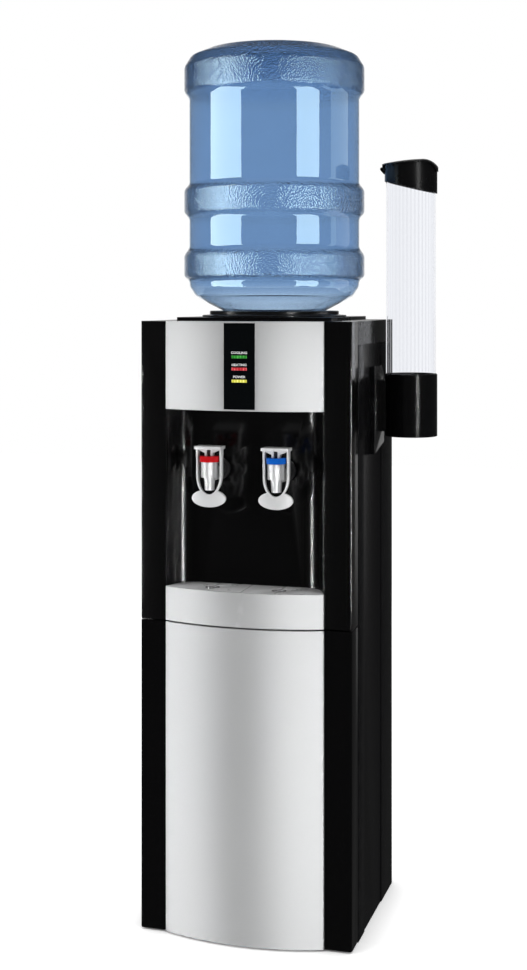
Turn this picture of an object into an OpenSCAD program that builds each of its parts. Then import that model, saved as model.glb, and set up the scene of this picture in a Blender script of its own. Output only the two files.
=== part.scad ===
// Free-standing hot and cold water dispenser with a bottle on top and a cup holder on its side.
// Millimetres. +X is to the right as seen from the front, +Y to the rear, +Z up.
// The origin is on the floor, under the middle of the cabinet.

/* [Cabinet] */
// Width of the cabinet
cab_w = 310; // [304:1:324]
// Depth of the cabinet from its front columns to its rear edge
cab_d = 284; // [280:1:300]
// Height of the cabinet up to its top cover
cab_h = 872; // [860:1:920]
// Height of the upper front, from the seam over the door to the top cover
upper_h = 426; // [420:1:436]
// Depth of the moulded front
front_d = 38; // [36:1:40]
// Gap between the moulded front and the side sheets
seam = 3; // [2.6:0.2:4]
// Thickness of the painted sheet steel
sheet_t = 1; // [0.8:0.1:1.2]
// Wall of the moulded parts
wall = 2.5; // [2:0.1:3]
// Radius of the upright edges of the front
edge_r = 3; // [2:0.5:5]
// Radius of the rear corners of the side sheets
corner_r = 12; // [9:1:15]
// Depth of the field pressed into each side sheet
press = 1.2; // [0.8:0.1:1.6]
// Height of the top cover's skirt
skirt_h = 33; // [28:1:38]

/* [Silver fronts] */
// Width of the silver fronts
silver_w = 232; // [224:1:236]
// How far the middle of a silver front bows out
bow_h = 21; // [17:1:24]
// How far the edges of a silver front stand proud of the columns
proud = 3; // [2:0.5:4]
// Height of the upper silver panel
panel_h = 125; // [118:1:132]
// Height of the drip tray's silver front
tray_h = 48.5; // [44:0.5:54]
// Gap between the door and the drip tray's front
door_gap = 2; // [1.6:0.1:2.6]

/* [Niche] */
// Depth of the niche behind the columns
niche_d = 41; // [39:1:45]
// How much narrower the niche is at its back, on each side
niche_taper = 16; // [12:1:20]
// Radius of the niche's upright corners
niche_r = 30; // [24:1:33]

/* [Indicator] */
// Width of the dark indicator strip
strip_w = 45.4; // [42:0.2:50]
// Width of one indicator window
lens_w = 22; // [18:1:26]
// Height of one indicator window
lens_h = 4; // [3:0.5:6]
// Distance from one indicator window to the next
lens_pitch = 16.8; // [14:0.2:20]

/* [Taps] */
// Distance between the two taps
tap_pitch = 98; // [92:1:104]
// Height of the taps' axes over the drip tray
tap_rise = 165.5; // [160:0.5:172]
// Distance of the taps from the niche's back wall
tap_reach = 47; // [45:1:50]
// Radius of a tap's barrel
barrel_r = 12.3; // [11.5:0.1:13]
// Height of a tap's barrel
barrel_h = 22; // [20:1:24]
// Radius of a tap's spout where it leaves the barrel
spout_r = 8.2; // [7.5:0.1:8.5]
// Radius of a tap's spout at its mouth
spout_tip_r = 6.9; // [6:0.1:7.4]
// Length of a tap's spout
spout_h = 18; // [15:1:19]
// Radius of a tap's shank
shank_r = 7.5; // [6.5:0.5:8]
// Radius of the coloured ring
ring_r = 14.2; // [13.8:0.1:14.5]
// Height of the coloured ring
ring_h = 8; // [7:0.5:9]
// Radius of the round flange behind a tap
flange_r = 16; // [14:0.5:18]
// Width of a tap lever over its arms
lever_w = 37.5; // [37:0.5:40]
// Thickness of a lever's arms, seen from the front
arm_t = 2.6; // [2:0.1:2.8]
// Width of a lever's paddle
paddle_w = 50; // [46:1:54]
// Height of a lever's paddle
paddle_h = 25; // [22:1:27]
// Radius of the trunnions that a lever turns on
pin_r = 1.5; // [1.2:0.1:1.6]

/* [Bottle] */
// Radius of the bottle's widest bands
bottle_r = 135; // [130:1:136]
// Height of the bottle above its seat
bottle_h = 396; // [380:1:420]
// Wall of the bottle
bottle_t = 2; // [1.6:0.1:2.4]
// Radius of the bottle's neck
neck_r = 28; // [27:0.5:29]
// Length of the bottle's neck
neck_h = 62; // [58:1:66]
// Radius of the upper ring of the bottle seat
seat_r = 97; // [94:1:100]
// Radius of the foot of the bottle seat
seat_foot_r = 108; // [105:1:110]
// Height of the bottle seat over the deck
seat_h = 9; // [8:0.5:11]
// Height of the raised deck
deck_h = 5; // [4:0.5:7]

/* [Cup holder] */
// Distance from the cabinet's side to the axis of the cup tube
cup_out = 52; // [50:0.5:56]
// Place of the cup tube's axis behind the middle of the cabinet
cup_y = 17; // [10:1:18]
// Outer radius of the clear cup tube
tube_r = 36.4; // [34.5:0.1:37]
// Wall of the cup tube
tube_t = 1.8; // [1.4:0.1:2]
// Distance of the housing's underside below the top cover
housing_drop = 169; // [162:1:182]
// Height of the housing
housing_h = 91; // [86:1:96]
// Wall of the housing and of the cap ring
holder_t = 1.8; // [1.5:0.1:2.2]
// Height of the lower edge of the lid over the underside of the housing
cap_rise = 390; // [377:1:407]
// Height of the crown of the lid over its lower edge
lid_h = 15; // [13:0.5:17]
// Number of flutes round the cup tube
flutes = 38; // [30:2:44]

/* [Inside] */
// Depth of the storage box behind the door
box_d = 125; // [118:1:130]
// Radius of the cold tank
cold_r = 62; // [60:1:64]
// Radius of the foam jacket round the cold tank
jacket_r = 85; // [82:1:88]
// Radius of the hot tank
hot_r = 48; // [44:1:50]
// Height of the hot tank
hot_h = 130; // [115:1:140]
// Radius of the compressor
comp_r = 46; // [42:1:48]
// Height of the compressor
comp_h = 170; // [150:1:180]
// Number of straight runs of the condenser tube
cond_rows = 13; // [11:2:13]
// Height of the condenser's top run over the cold tank's bracket
cond_rise = 12; // [6:1:30]
// Radius of the condenser tube
cond_r = 2.5; // [2:0.1:2.8]
// Number of upright wires on the condenser
cond_wires = 28; // [20:2:32]

/* [Hidden] */

// Overrun of every cut
over = 1;
// Clearance of a piece in its seat
seat = 0.3;
// Clearance of a pin in its bearing
run = 0.05;
// Facets of small rounds, of wide ones, and steps of an arc in a plan
$fn = 48;
wide_fn = 180;
arc_n = 8;

// Planes and heights of the cabinet
half_w = cab_w / 2;
front_y = -cab_d / 2;
rear_y = cab_d / 2;
flank_y = front_y + front_d;
sheet_y = flank_y + seam;
rear_out = rear_y - sheet_t;
rear_in = rear_out - sheet_t;
skirt_z = cab_h - skirt_h;
split_z = cab_h - upper_h;
panel_z = cab_h - panel_h;
tray_z = split_z + tray_h;

// Base pan and side sheets
pan_half = half_w - press - sheet_t;
pan_t = 1.5;
pan_flange = 18;
return_w = 24;
field_front = 40;
field_rear = 88;
field_y0 = sheet_y + field_front;
field_y1 = rear_y - field_rear;
field_x = half_w - press;
tongue_l = 14;

// Louvres of the rear sheet
louvre_rows = 7;
louvre_x = 60;
louvre_w = 56;
louvre_h = 4;
louvre_pitch = 10;
louvre_z = 64;

// The bow of the silver fronts
silver_half = silver_w / 2;
bow_r = (silver_half * silver_half + bow_h * bow_h) / (2 * bow_h);
bow_front = front_y - proud - bow_h;
bow_y = bow_front + bow_r;

// The niche
niche_y = front_y + niche_d;
niche_a = atan2(niche_taper, niche_d);

// The door and its hinges
door_drop = 1.5;
door_z0 = pan_t + door_drop;
door_z1 = split_z - door_gap;
hinge_inset = 9;
hinge_back = 18;
hinge_x = half_w - hinge_inset;
hinge_y = flank_y - hinge_back;
hinge_r = 3;
hinge_pin_l = 12;
hinge_arm = 16;
hinge_end = 5.5;
boss_r = 7;
boss_h = 22;
strike_w = 30;
strike_h = 10;
strike_t = 1;
strike_x = 30 - half_w;
magnet_d = 14;

// The indicator
strip_recess = 0.3;
strip_t = 1.2;
strip_edge = 2.2;
lens_drop = 66.2;
lens_mid = cab_h - lens_drop;
lens_fit = 0.1;
lens_back = 0.8;
board_w = 36;
board_h = 60;
board_t = 1.6;
board_gap = 2;
post_r = 2.5;

// The deck, the bottle seat and the bottle
deck_w = silver_w;
deck_r = 8;
axis_y = flank_y + deck_w / 2;
deck_z = cab_h + deck_h;
seat_z = deck_z + seat_h;
seat_lip = 7;
seat_foot_t = 2.5;
seat_bevel = 1;
funnel_t = 3;
guard_gap = 3.4;
guard_t = 2;
guard_h = 90;
guard_r = neck_r + guard_gap;
guard_z = seat_z - guard_h;
shoulder_r = 77;
shoulder_rise = 0.45;
neck_z = seat_z + shoulder(neck_r);
mouth_z = neck_z - neck_h;
cap_t = 1.2;
cap_grip = 16;
cap_hole_r = 10.5;
// Radius and height of the bottle's outline above its shoulder, as shares of its own
bottle_shares = [[0.73, 0.0265], [0.875, 0.0561], [0.94, 0.0898], [0.945, 0.1143], [1, 0.1285],
                 [1, 0.2091], [0.945, 0.2367], [0.945, 0.3469], [1, 0.3693], [1, 0.455],
                 [0.945, 0.4775], [0.945, 0.8019], [1, 0.8264], [1, 0.9182], [0.93, 0.957],
                 [0.74, 0.984], [0.46, 1], [0, 1]];

// The taps
tap_x = tap_pitch / 2;
tap_y = niche_y - tap_reach;
tap_z = tray_z + tap_rise;
barrel_share = 4 / 11;
barrel_z = tap_z - barrel_h * barrel_share;
barrel_top = barrel_z + barrel_h;
ring_top = barrel_top + ring_h;
chamber_t = 2.4;
chamber_r = barrel_r - chamber_t;
chamber_z = barrel_z + 3 * chamber_t;
ring_plate = 2.5;
ring_tab = 1.2;
water_r = 4;
shank_back = 18;
rib_drop = 4.5;
collar_r = 10.5;
flange_t = 5;
nut_r = 13;
nut_t = 8;
disc_t = 3;
disc_r = chamber_r - 2 * seat;
disc_top = chamber_z + seat + disc_t;
stem_r = 2.4;
spring_r = 6;
spring_wire = 0.6;
spring_turns = 4;
eye_r = 3.8;
eye_half = 2.6;
trunnion_half = 5.7;
pin_rise = 5;
pin_z = ring_top + pin_rise;
cheek_w = 2.9;
cheek_flare = 1.4;
cheek_d = 10;
cap_plate = 4;
cap_d = 22;
cap_over = 0.75;
lever_gap = 0.5;
lever_low = ring_top + lever_gap;
lever_plate_z = pin_z + pin_rise;
lever_top = lever_plate_z + cap_plate;
arm_d = 8;
arm_z = tap_z - pin_rise;
throat = 7;
paddle_rise = 1;
paddle_top = barrel_z - spout_h + paddle_rise;
paddle_t = 4;
paddle_lean = 3;
oval_n = 40;

// The drip tray
tray_gap = 0.6;
tray_t = 2;
tray_floor = split_z + wall + seat;
grille_t = 2.5;
grille_z = tray_z - grille_t;
groove_w = 1.4;
groove_d = 1;
rosette_r = 10.5;
rosette_back = 14;
rosette_bore = 1.5;
rosette_holes = 6;

// Inside the cabinet
shelf_t = 1.5;
shelf_drop = 14;
shelf_z = split_z - shelf_drop;
shelf_set = 5;
foam_t = 10;
jacket_drop = 15;
jacket_z = tap_z + jacket_drop;
cold_z0 = jacket_z + foam_t;
cold_z1 = guard_z - foam_t;
coil_r = 3;
coil_turns = 5;
coil_n = 20;
coil_mid = (cold_r + seat + coil_r) / cos(180 / coil_n);
probe_r = 8;
probe_bore = 5.5;
probe_foot_r = 11;
probe_foot_t = 2;
probe_tip = 6;
probe_top = neck_z - probe_tip;
bracket_half = 48;
pipe_r = 4;
pipe_bend = 10;
cold_pipe_off = 20;
cold_pipe_y = axis_y - cold_pipe_off;
feed_x = -58;
hot_x = -75;
hot_y = 0;
hot_stand = 36;
hot_z = shelf_z + shelf_t + hot_stand;
hot_top = hot_z + hot_h;
heater_t = 1.5;
heater_h = 40;
leg_r = 4;
drain_y = 60;
drain_z = 40;
drain_drop = 18;
shank_end = niche_y + wall + shank_back;
comp_x = 45;
comp_y = (sheet_y + box_d + rear_in) / 2;
grommet_r = 8;
grommet_h = 12;
foot_t = 2.5;
foot_x = 58;
foot_y = 42;
comp_z = pan_t + grommet_h + foot_t;
// Radius and height of the compressor's outline, as shares of its own
comp_shares = [[0, 0], [0.86, 0], [0.96, 0.04], [1, 0.1], [1, 0.48], [1.04, 0.48],
               [1.04, 0.51], [1, 0.51], [1, 0.86], [0.93, 0.94], [0.72, 1], [0, 1]];
suction_off = 18;
cap_pipe_x = -35;
drier_y = 75;
drier_r = 9;
drier_h = 70;
drier_drop = 40;
drier_tail = 30;

// The condenser
cond_off = 10;
cond_y = rear_y + cond_off;
outlet_share = 0.7;
cond_z0 = comp_z + comp_h * outlet_share;
cond_z1 = jacket_z + cond_rise;
cond_pitch = (cond_z1 - cond_z0) / (cond_rows - 1);
cond_half = 118;
cond_lead = 6;
wire_r = 0.8;
wire_gap = 0.1;
wire_out = 14;
clip_w = 8;
clip_in = cond_pitch / 2 + clip_w / 2 + over;
wire_in = clip_in + clip_w;
clip_t = 2.5;

// The switches, the drain and the cord inlet on the rear
switch_x = -70;
switch_drop = 22;
switch_z = skirt_z - switch_drop;
switch_w = 60;
switch_h = 34;
switch_t = 2;
switch_d = 16;
rocker_pitch = 26;
rocker_w = 14.4;
rocker_h = 21;
rocker_tilt = 8;
rocker_pin_r = 1;
rocker_pin_l = 1.5;
// Depth and height of a rocker's outline, as shares of half its window
rocker_shares = [[-0.57, -0.45], [-0.57, 0.45], [0.05, 0.91], [0.33, 0.91], [0.2, 0],
                 [0.33, -0.91], [0.05, -0.91]];
spigot_r = 6;
spigot_l = 9;
outlet_cap_r = 9;
outlet_flange_t = 2;
inlet_x = 100;
inlet_z = 40;
inlet_r = 9;
inlet_bore = 3.6;

// The cup holder
cup_x = half_w + cup_out;
housing_z = cab_h - housing_drop;
cap_z = housing_z + cap_rise;
housing_in = tube_r + seat;
housing_r = housing_in + holder_t;
housing_top = housing_z + housing_h;
tube_set = 27;
tube_z = housing_top - tube_set;
ledge_t = 2;
ledge_w = 1.6;
ledge_r = tube_r - ledge_w;
tube_top = cap_z - 3 * ledge_t;
flute_d = 0.6;
cap_skirt = 17;
cap_slope = 19;
crown_z = cap_z + lid_h;
lid_t = 2;
lid_over = 1.5;
lid_clear = 1;
lid_arc = 14;
lid_arc_n = 8;
lid_bend = 22;
lid_slope = 300;
lid_crown = 135;
lid_crown_x = housing_r + lid_t + lid_clear - lid_bend;
lid_pin_r = 1.2;
lid_pin_out = 3;
lid_pin_x = cup_x - housing_r - lid_pin_out;
lid_pin_rise = 1;
lid_pin_z = cap_z + lid_pin_rise;
ear_y = 9;
ear_t = 3;
knuckle_r = 2.5;
knuckle_gap = 0.4;
plate_t = 6;
plate_half = 33;
plate_low = 26;
plate_high = 11;
plate_slant = 13;
arm_low = 7;
arm_high = 9;
arm_half = 20;
finger_n = 8;
finger_w = 8;
finger_in = 5.6;
gripper_t = 3;
gripper_w = 3.2;

// Height of the bottle's shoulder cone at a radius, over the top of its seat
function shoulder(r) = (r - shoulder_r) * shoulder_rise;

// Points of an arc
function arc(c, r, a0, a1) = [for (i = [0:arc_n]) let (a = a0 + (a1 - a0) * i / arc_n)
    c + r * [cos(a), sin(a)]];

// An outline with its corners cut, so that it runs round
function eased(p) = concat([p[0]], [for (i = [0:len(p) - 2], s = [1, 3])
    p[i] + (p[i + 1] - p[i]) * s / 4], [p[len(p) - 1]]);

// A box from its lowest to its highest corner
module block(lo, hi) {
    translate(lo) cube(hi - lo);
}

// A cylinder along Y from one plane to another
module rod_y(x, z, y0, y1, r) {
    translate([x, y0, z]) rotate([-90, 0, 0]) cylinder(r = r, h = y1 - y0);
}

// A cylinder along X, centred on a point
module rod_x(c, half, r) {
    translate(c - [half, 0, 0]) rotate([0, 90, 0]) cylinder(r = r, h = 2 * half);
}

// A plan that is square at the front and rounded at its rear corners
module plan(half, y0, y1, r) {
    polygon(concat([[-half, y0], [half, y0]],
                   arc([half - r, y1 - r], r, 0, 90),
                   arc([r - half, y1 - r], r, 90, 180)));
}

// A square plan with rounded corners
module rounded(w, r) {
    c = w / 2 - r;
    polygon(concat(arc([c, c], r, 0, 90), arc([-c, c], r, 90, 180),
                   arc([-c, -c], r, 180, 270), arc([c, -c], r, 270, 360)));
}

// A moulded front over the whole width, open at its back
module front_shell(z0, z1) {
    difference() {
        translate([0, 0, z0]) linear_extrude(z1 - z0)
            polygon(concat([[half_w, flank_y], [-half_w, flank_y]],
                           arc([edge_r - half_w, front_y + edge_r], edge_r, 180, 270),
                           arc([half_w - edge_r, front_y + edge_r], edge_r, 270, 360)));
        block([wall - half_w, front_y + wall, z0 + wall],
              [half_w - wall, flank_y + over, z1 - wall]);
    }
}

// Plan of a silver front, drawn in by g and running on behind the columns' face
module bow_plan(g, back) {
    intersection() {
        translate([0, bow_y]) circle(r = bow_r - g, $fn = wide_fn);
        translate([g - silver_half, bow_front - over])
            square([silver_w - 2 * g, front_y + back - bow_front + over]);
    }
}

// A slice of the bowed skin, from one depth to another, in the middle of the front
module bow_slice(g0, g1, w, z0, z1) {
    translate([0, 0, z0]) linear_extrude(z1 - z0) intersection() {
        difference() {
            translate([0, bow_y]) circle(r = bow_r - g0, $fn = wide_fn);
            translate([0, bow_y]) circle(r = bow_r - g1, $fn = wide_fn);
        }
        translate([-w / 2, bow_front - 2 * over]) square([w, bow_h]);
    }
}

// A bowed silver shell, open at its back
module silver_shell(z0, z1) {
    difference() {
        translate([0, 0, z0]) linear_extrude(z1 - z0) bow_plan(0, 0);
        translate([0, 0, z0 + wall]) linear_extrude(z1 - z0 - 2 * wall) bow_plan(wall, over);
    }
}

// Half width of the niche at a depth, grown by g
function niche_side(y, g) = silver_half - (y - front_y) * tan(niche_a) + g / cos(niche_a);

// Plan of the niche, grown by g, from a plane in front
module niche_plan(g, front) {
    cy = niche_y - niche_r;
    c = [niche_side(cy, 0) - niche_r / cos(niche_a), cy];
    half = concat([[niche_side(front, g), front]], arc(c, niche_r + g, niche_a, 90));
    polygon(concat(half, [for (i = [len(half) - 1:-1:0]) [-half[i].x, half[i].y]]));
}

// A straight length of tube
module straight(a, b, r) {
    d = b - a;
    translate(a) rotate([0, acos(d.z / norm(d)), atan2(d.y, d.x)]) cylinder(r = r, h = norm(d));
}

// A quarter bend round the corner p, from direction u into direction v
module elbow(p, u, v, bend, r) {
    w = cross(u, v);
    c = p + bend * (v - u);
    multmatrix([[-v.x, u.x, w.x, c.x], [-v.y, u.y, w.y, c.y], [-v.z, u.z, w.z, c.z]])
        rotate_extrude(angle = 90) translate([bend, 0]) circle(r = r);
}

// A tube through square corners, each with its own bend
module tube_run(p, bends, r) {
    n = len(p) - 1;
    for (i = [0:n - 1]) {
        u = (p[i + 1] - p[i]) / norm(p[i + 1] - p[i]);
        a = p[i] + (i > 0 ? bends[i - 1] : 0) * u;
        b = p[i + 1] - (i < n - 1 ? bends[i] : 0) * u;
        if (norm(b - a) > run) straight(a, b, r);
        if (i < n - 1) elbow(p[i + 1], u, (p[i + 2] - p[i + 1]) / norm(p[i + 2] - p[i + 1]), bends[i], r);
    }
}

// One unbroken coil of round wire about the Z axis
module coil(r, wire, z0, z1, turns, steps, sides) {
    n = turns * steps;
    tilt = atan2((z1 - z0) / turns, 360 * r * PI / 180);
    path = [for (i = [0:n]) [r * cos(360 * i / steps), r * sin(360 * i / steps), z0 + (z1 - z0) * i / n]];
    gap = min([for (i = [0:n], j = [i + floor(steps / 2):1:n]) norm(path[j] - path[i])]) - 2 * wire;
    echo(coil_radius = r, least_gap_to_itself = gap);
    points = [for (i = [0:n], j = [0:sides - 1])
        let (a = 360 * i / steps, b = 360 * j / sides, out = [cos(a), sin(a), 0],
             up = [sin(a) * sin(tilt), -cos(a) * sin(tilt), cos(tilt)])
        path[i] + wire * (cos(b) * out + sin(b) * up)];
    skin = [for (i = [0:n - 1], j = [0:sides - 1], t = [0, 1])
        let (k = (j + 1) % sides, p = i * sides, q = p + sides)
        t == 0 ? [p + j, p + k, q + k] : [p + j, q + k, q + j]];
    start = [for (j = [1:sides - 2]) [0, j + 1, j]];
    end = [for (j = [1:sides - 2]) [n * sides, n * sides + j, n * sides + j + 1]];
    polyhedron(points, concat(skin, start, end));
}

module base_pan() {
    color([0.25, 0.25, 0.26]) difference() {
        linear_extrude(pan_flange) plan(pan_half, sheet_y, rear_in, corner_r);
        translate([0, 0, pan_t]) linear_extrude(pan_flange)
            plan(pan_half - sheet_t, sheet_y - over, rear_in - sheet_t, corner_r - sheet_t);
    }
}

// The right side sheet: its front edge, pressed field, rear corner and return
module side_panel() {
    c = [half_w - corner_r, rear_y - corner_r];
    outer = concat([[half_w, sheet_y], [half_w, field_y0], [field_x, field_y0 + press],
                    [field_x, field_y1 - press], [half_w, field_y1]],
                   arc(c, corner_r, 0, 90), [[half_w - return_w, rear_y]]);
    inner = concat([[half_w - return_w, rear_out]], arc(c, corner_r - sheet_t, 90, 0),
                   [for (p = [[half_w, field_y1], [field_x, field_y1 - press],
                              [field_x, field_y0 + press], [half_w, field_y0], [half_w, sheet_y]])
                    p - [sheet_t, 0]]);
    color([0.05, 0.05, 0.05]) linear_extrude(skirt_z) polygon(concat(outer, inner));
}

module right_side_panel() {
    side_panel();
}

module left_side_panel() {
    mirror([1, 0, 0]) side_panel();
}

module rear_panel() {
    half = half_w - corner_r;
    color([0.12, 0.12, 0.13]) difference() {
        block([-half, rear_in, 0], [half, rear_out, skirt_z]);
        for (s = [-1, 1], i = [0:louvre_rows - 1])
            translate([s * louvre_x - louvre_w / 2, rear_in - over, louvre_z + i * louvre_pitch])
                cube([louvre_w, sheet_t + 2 * over, louvre_h]);
        block([switch_x - switch_w / 2 + switch_t, rear_in - over, switch_z - switch_h / 2 + switch_t],
              [switch_x + switch_w / 2 - switch_t, rear_out + over, switch_z + switch_h / 2 - switch_t]);
        rod_y(hot_x, drain_z, rear_in - over, rear_out + over, spigot_r + seat);
        rod_y(inlet_x, inlet_z, rear_in - over, rear_out + over, spigot_r + seat);
        rod_y(cond_half, cond_z0, rear_in - over, rear_out + over, cond_r + seat);
        rod_y(-cond_half, cond_z1, rear_in - over, rear_out + over, cond_r + seat);
    }
}

module top_cover() {
    color([0.05, 0.05, 0.05]) difference() {
        union() {
            translate([0, 0, skirt_z]) linear_extrude(skirt_h)
                plan(half_w, flank_y, rear_y, corner_r);
            translate([0, axis_y, cab_h - wall]) linear_extrude(deck_h + wall)
                rounded(deck_w, deck_r);
        }
        translate([0, 0, skirt_z - over]) linear_extrude(skirt_h + over - wall)
            plan(half_w - wall, flank_y + wall, rear_y - wall, corner_r - wall);
        translate([0, axis_y, cab_h - wall - over]) linear_extrude(deck_h + over)
            rounded(deck_w - 2 * wall, deck_r - wall);
        translate([0, axis_y, cab_h - wall]) cylinder(r = seat_r - seat_lip, h = deck_h + wall + over, $fn = wide_fn);
    }
}

module upper_front_frame() {
    color([0.05, 0.05, 0.05]) difference() {
        union() {
            front_shell(split_z, cab_h);
            translate([0, 0, split_z]) linear_extrude(panel_z + wall - split_z)
                niche_plan(wall, front_y + edge_r);
            for (s = [-1, 1])
                translate([s * (half_w - sheet_t - wall / 2) - wall / 2, flank_y - wall, split_z])
                    cube([wall, tongue_l + wall, skirt_z - split_z]);
        }
        translate([0, 0, split_z + wall]) linear_extrude(panel_z - split_z - wall)
            niche_plan(0, front_y - over);
        for (s = [-1, 1])
            rod_y(s * tap_x, tap_z, niche_y - over, niche_y + wall + over, shank_r + seat);
        translate([hinge_x, hinge_y, split_z - over]) cylinder(r = hinge_r + seat, h = wall + 2 * over);
    }
}

module top_front_panel() {
    color([0.75, 0.76, 0.77]) union() {
        difference() {
            silver_shell(panel_z, cab_h);
            bow_slice(-over, strip_recess + strip_t, strip_w + 2 * lens_fit,
                      panel_z + strip_edge, cab_h - strip_edge);
            for (i = [-1:1])
                bow_slice(-over, wall + over, lens_w, lens_mid + i * lens_pitch - lens_h / 2,
                          lens_mid + i * lens_pitch + lens_h / 2);
        }
        for (s = [-1, 1])
            rod_y(0, lens_mid + s * (board_h / 2 - 2 * post_r),
                  bow_front + wall - over / 2, bow_front + wall + board_gap, post_r);
    }
}

module indicator_strip() {
    color([0.03, 0.03, 0.04]) difference() {
        bow_slice(strip_recess, strip_recess + strip_t, strip_w,
                  panel_z + strip_edge + lens_fit, cab_h - strip_edge - lens_fit);
        for (i = [-1:1])
            bow_slice(0, wall, lens_w, lens_mid + i * lens_pitch - lens_h / 2,
                      lens_mid + i * lens_pitch + lens_h / 2);
    }
}

// One indicator window, counted from the middle one up
module lens(i) {
    bow_slice(strip_recess / 2, wall + lens_back, lens_w - 2 * lens_fit,
              lens_mid + i * lens_pitch - lens_h / 2 + lens_fit,
              lens_mid + i * lens_pitch + lens_h / 2 - lens_fit);
}

module green_lens() {
    color([0.1, 0.65, 0.2]) lens(1);
}

module red_lens() {
    color([0.8, 0.1, 0.12]) lens(0);
}

module yellow_lens() {
    color([0.85, 0.8, 0.15]) lens(-1);
}

module indicator_board() {
    y0 = bow_front + wall + board_gap;
    color([0.1, 0.35, 0.2])
        block([-board_w / 2, y0, lens_mid - board_h / 2], [board_w / 2, y0 + board_t, lens_mid + board_h / 2]);
}

// The seat ring, its funnel under the bottle's shoulder, and the tube round the bottle's neck
module bottle_seat() {
    inner = seat_r - seat_lip;
    guard_out = guard_r + guard_t;
    color([0.04, 0.04, 0.04]) translate([0, axis_y, seat_z]) rotate_extrude($fn = wide_fn) polygon([
        [seat_foot_r, -seat_h], [seat_foot_r, seat_foot_t - seat_h],
        [seat_r, seat_foot_t + seat_bevel - seat_h], [seat_r, -seat_bevel], [seat_r - seat_bevel, 0],
        [shoulder_r + seat / shoulder_rise, 0], [guard_r, shoulder(guard_r) - seat],
        [guard_r, -guard_h], [guard_out, -guard_h],
        [guard_out, shoulder(guard_out) - seat - funnel_t], [shoulder_r, -seat - funnel_t],
        [inner, -seat - funnel_t], [inner, -seat_h]]);
}

module bottle_probe() {
    color([0.9, 0.9, 0.88]) translate([0, axis_y, 0]) difference() {
        rotate_extrude() polygon([
            [probe_bore, cold_z1], [probe_foot_r, cold_z1], [probe_foot_r, cold_z1 + probe_foot_t],
            [probe_r, cold_z1 + probe_foot_t], [probe_r, probe_top - probe_tip],
            [probe_r / 2, probe_top], [0, probe_top], [0, probe_top - guard_t],
            [probe_bore / 2, probe_top - guard_t], [probe_bore, probe_top - probe_tip]]);
        for (a = [0, 90])
            translate([0, 0, probe_top - 4 * probe_tip]) rotate([0, 0, a])
                translate([-probe_r - over, -probe_tip / 2, 0]) cube([2 * probe_r + 2 * over, probe_tip, 2 * probe_tip]);
    }
}

module cold_tank() {
    color([0.7, 0.7, 0.7]) translate([0, axis_y, cold_z0]) difference() {
        cylinder(r = cold_r, h = cold_z1 - cold_z0, $fn = wide_fn);
        translate([0, 0, sheet_t]) cylinder(r = cold_r - sheet_t, h = cold_z1 - cold_z0 - 2 * sheet_t, $fn = wide_fn);
        translate([0, 0, cold_z1 - cold_z0 - sheet_t - over]) cylinder(r = probe_bore, h = sheet_t + 2 * over);
    }
}

module tank_jacket() {
    color([0.93, 0.93, 0.9]) difference() {
        translate([0, axis_y, jacket_z]) cylinder(r = jacket_r, h = guard_z - jacket_z, $fn = wide_fn);
        translate([0, axis_y, cold_z0]) cylinder(r = coil_mid + coil_r + seat, h = cold_z1 - cold_z0, $fn = wide_fn);
        translate([0, axis_y, cold_z1 - over]) cylinder(r = probe_foot_r + over, h = foam_t + 2 * over);
        pipe_holes(jacket_z - over, foam_t + 2 * over);
    }
}

// Holes for the two water pipes under the cold tank
module pipe_holes(z, h) {
    translate([tap_x, cold_pipe_y, z]) cylinder(r = pipe_r + seat, h = h);
    translate([feed_x, axis_y, z]) cylinder(r = pipe_r + seat, h = h);
}

module evaporator_coil() {
    color([0.72, 0.45, 0.2]) translate([0, axis_y, 0])
        coil(coil_mid, coil_r, cold_z0 + 2 * coil_r, cold_z1 - 2 * coil_r, coil_turns, coil_n, 6);
}

module tank_bracket() {
    color([0.6, 0.61, 0.62]) difference() {
        union() {
            block([-pan_half, axis_y - bracket_half, jacket_z - shelf_t], [pan_half, axis_y + bracket_half, jacket_z]);
            for (s = [-1, 1])
                translate([s * (pan_half - shelf_t / 2) - shelf_t / 2, axis_y - bracket_half, jacket_z - pan_flange])
                    cube([shelf_t, 2 * bracket_half, pan_flange]);
        }
        pipe_holes(jacket_z - shelf_t - over, shelf_t + 2 * over);
    }
}

// The hot tank with its band heater, on three legs
module hot_tank() {
    color([0.68, 0.68, 0.7]) difference() {
        union() {
            translate([hot_x, hot_y, hot_z]) {
                cylinder(r = hot_r, h = hot_h, $fn = wide_fn);
                translate([0, 0, heater_h]) cylinder(r = hot_r + heater_t, h = heater_h, $fn = wide_fn);
            }
            for (a = [30, 150, 270])
                translate([hot_x + (hot_r - 2 * leg_r) * cos(a), hot_y + (hot_r - 2 * leg_r) * sin(a), hot_z - hot_stand])
                    cylinder(r = leg_r, h = hot_stand + over);
        }
        translate([hot_x, hot_y, hot_z + heater_t]) cylinder(r = hot_r - heater_t, h = hot_h - 2 * heater_t, $fn = wide_fn);
        translate([-tap_x, hot_y, hot_top - heater_t - over]) cylinder(r = pipe_r / 2, h = heater_t + 2 * over);
        translate([hot_x, hot_y, hot_z - over]) cylinder(r = pipe_r / 2, h = heater_t + 2 * over);
    }
}

module tank_shelf() {
    color([0.6, 0.61, 0.62]) difference() {
        translate([0, 0, shelf_z - pan_flange]) linear_extrude(pan_flange + shelf_t)
            plan(pan_half, sheet_y + shelf_set, rear_in, corner_r);
        translate([0, 0, shelf_z - pan_flange - over]) linear_extrude(pan_flange + over)
            plan(pan_half - sheet_t, sheet_y - over, rear_in - sheet_t, corner_r - sheet_t);
        translate([comp_x - suction_off, comp_y, shelf_z - over]) cylinder(r = cond_r + seat, h = shelf_t + 2 * over);
        translate([hot_x, drain_y, shelf_z - over]) cylinder(r = pipe_r + seat, h = shelf_t + 2 * over);
    }
}

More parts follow.
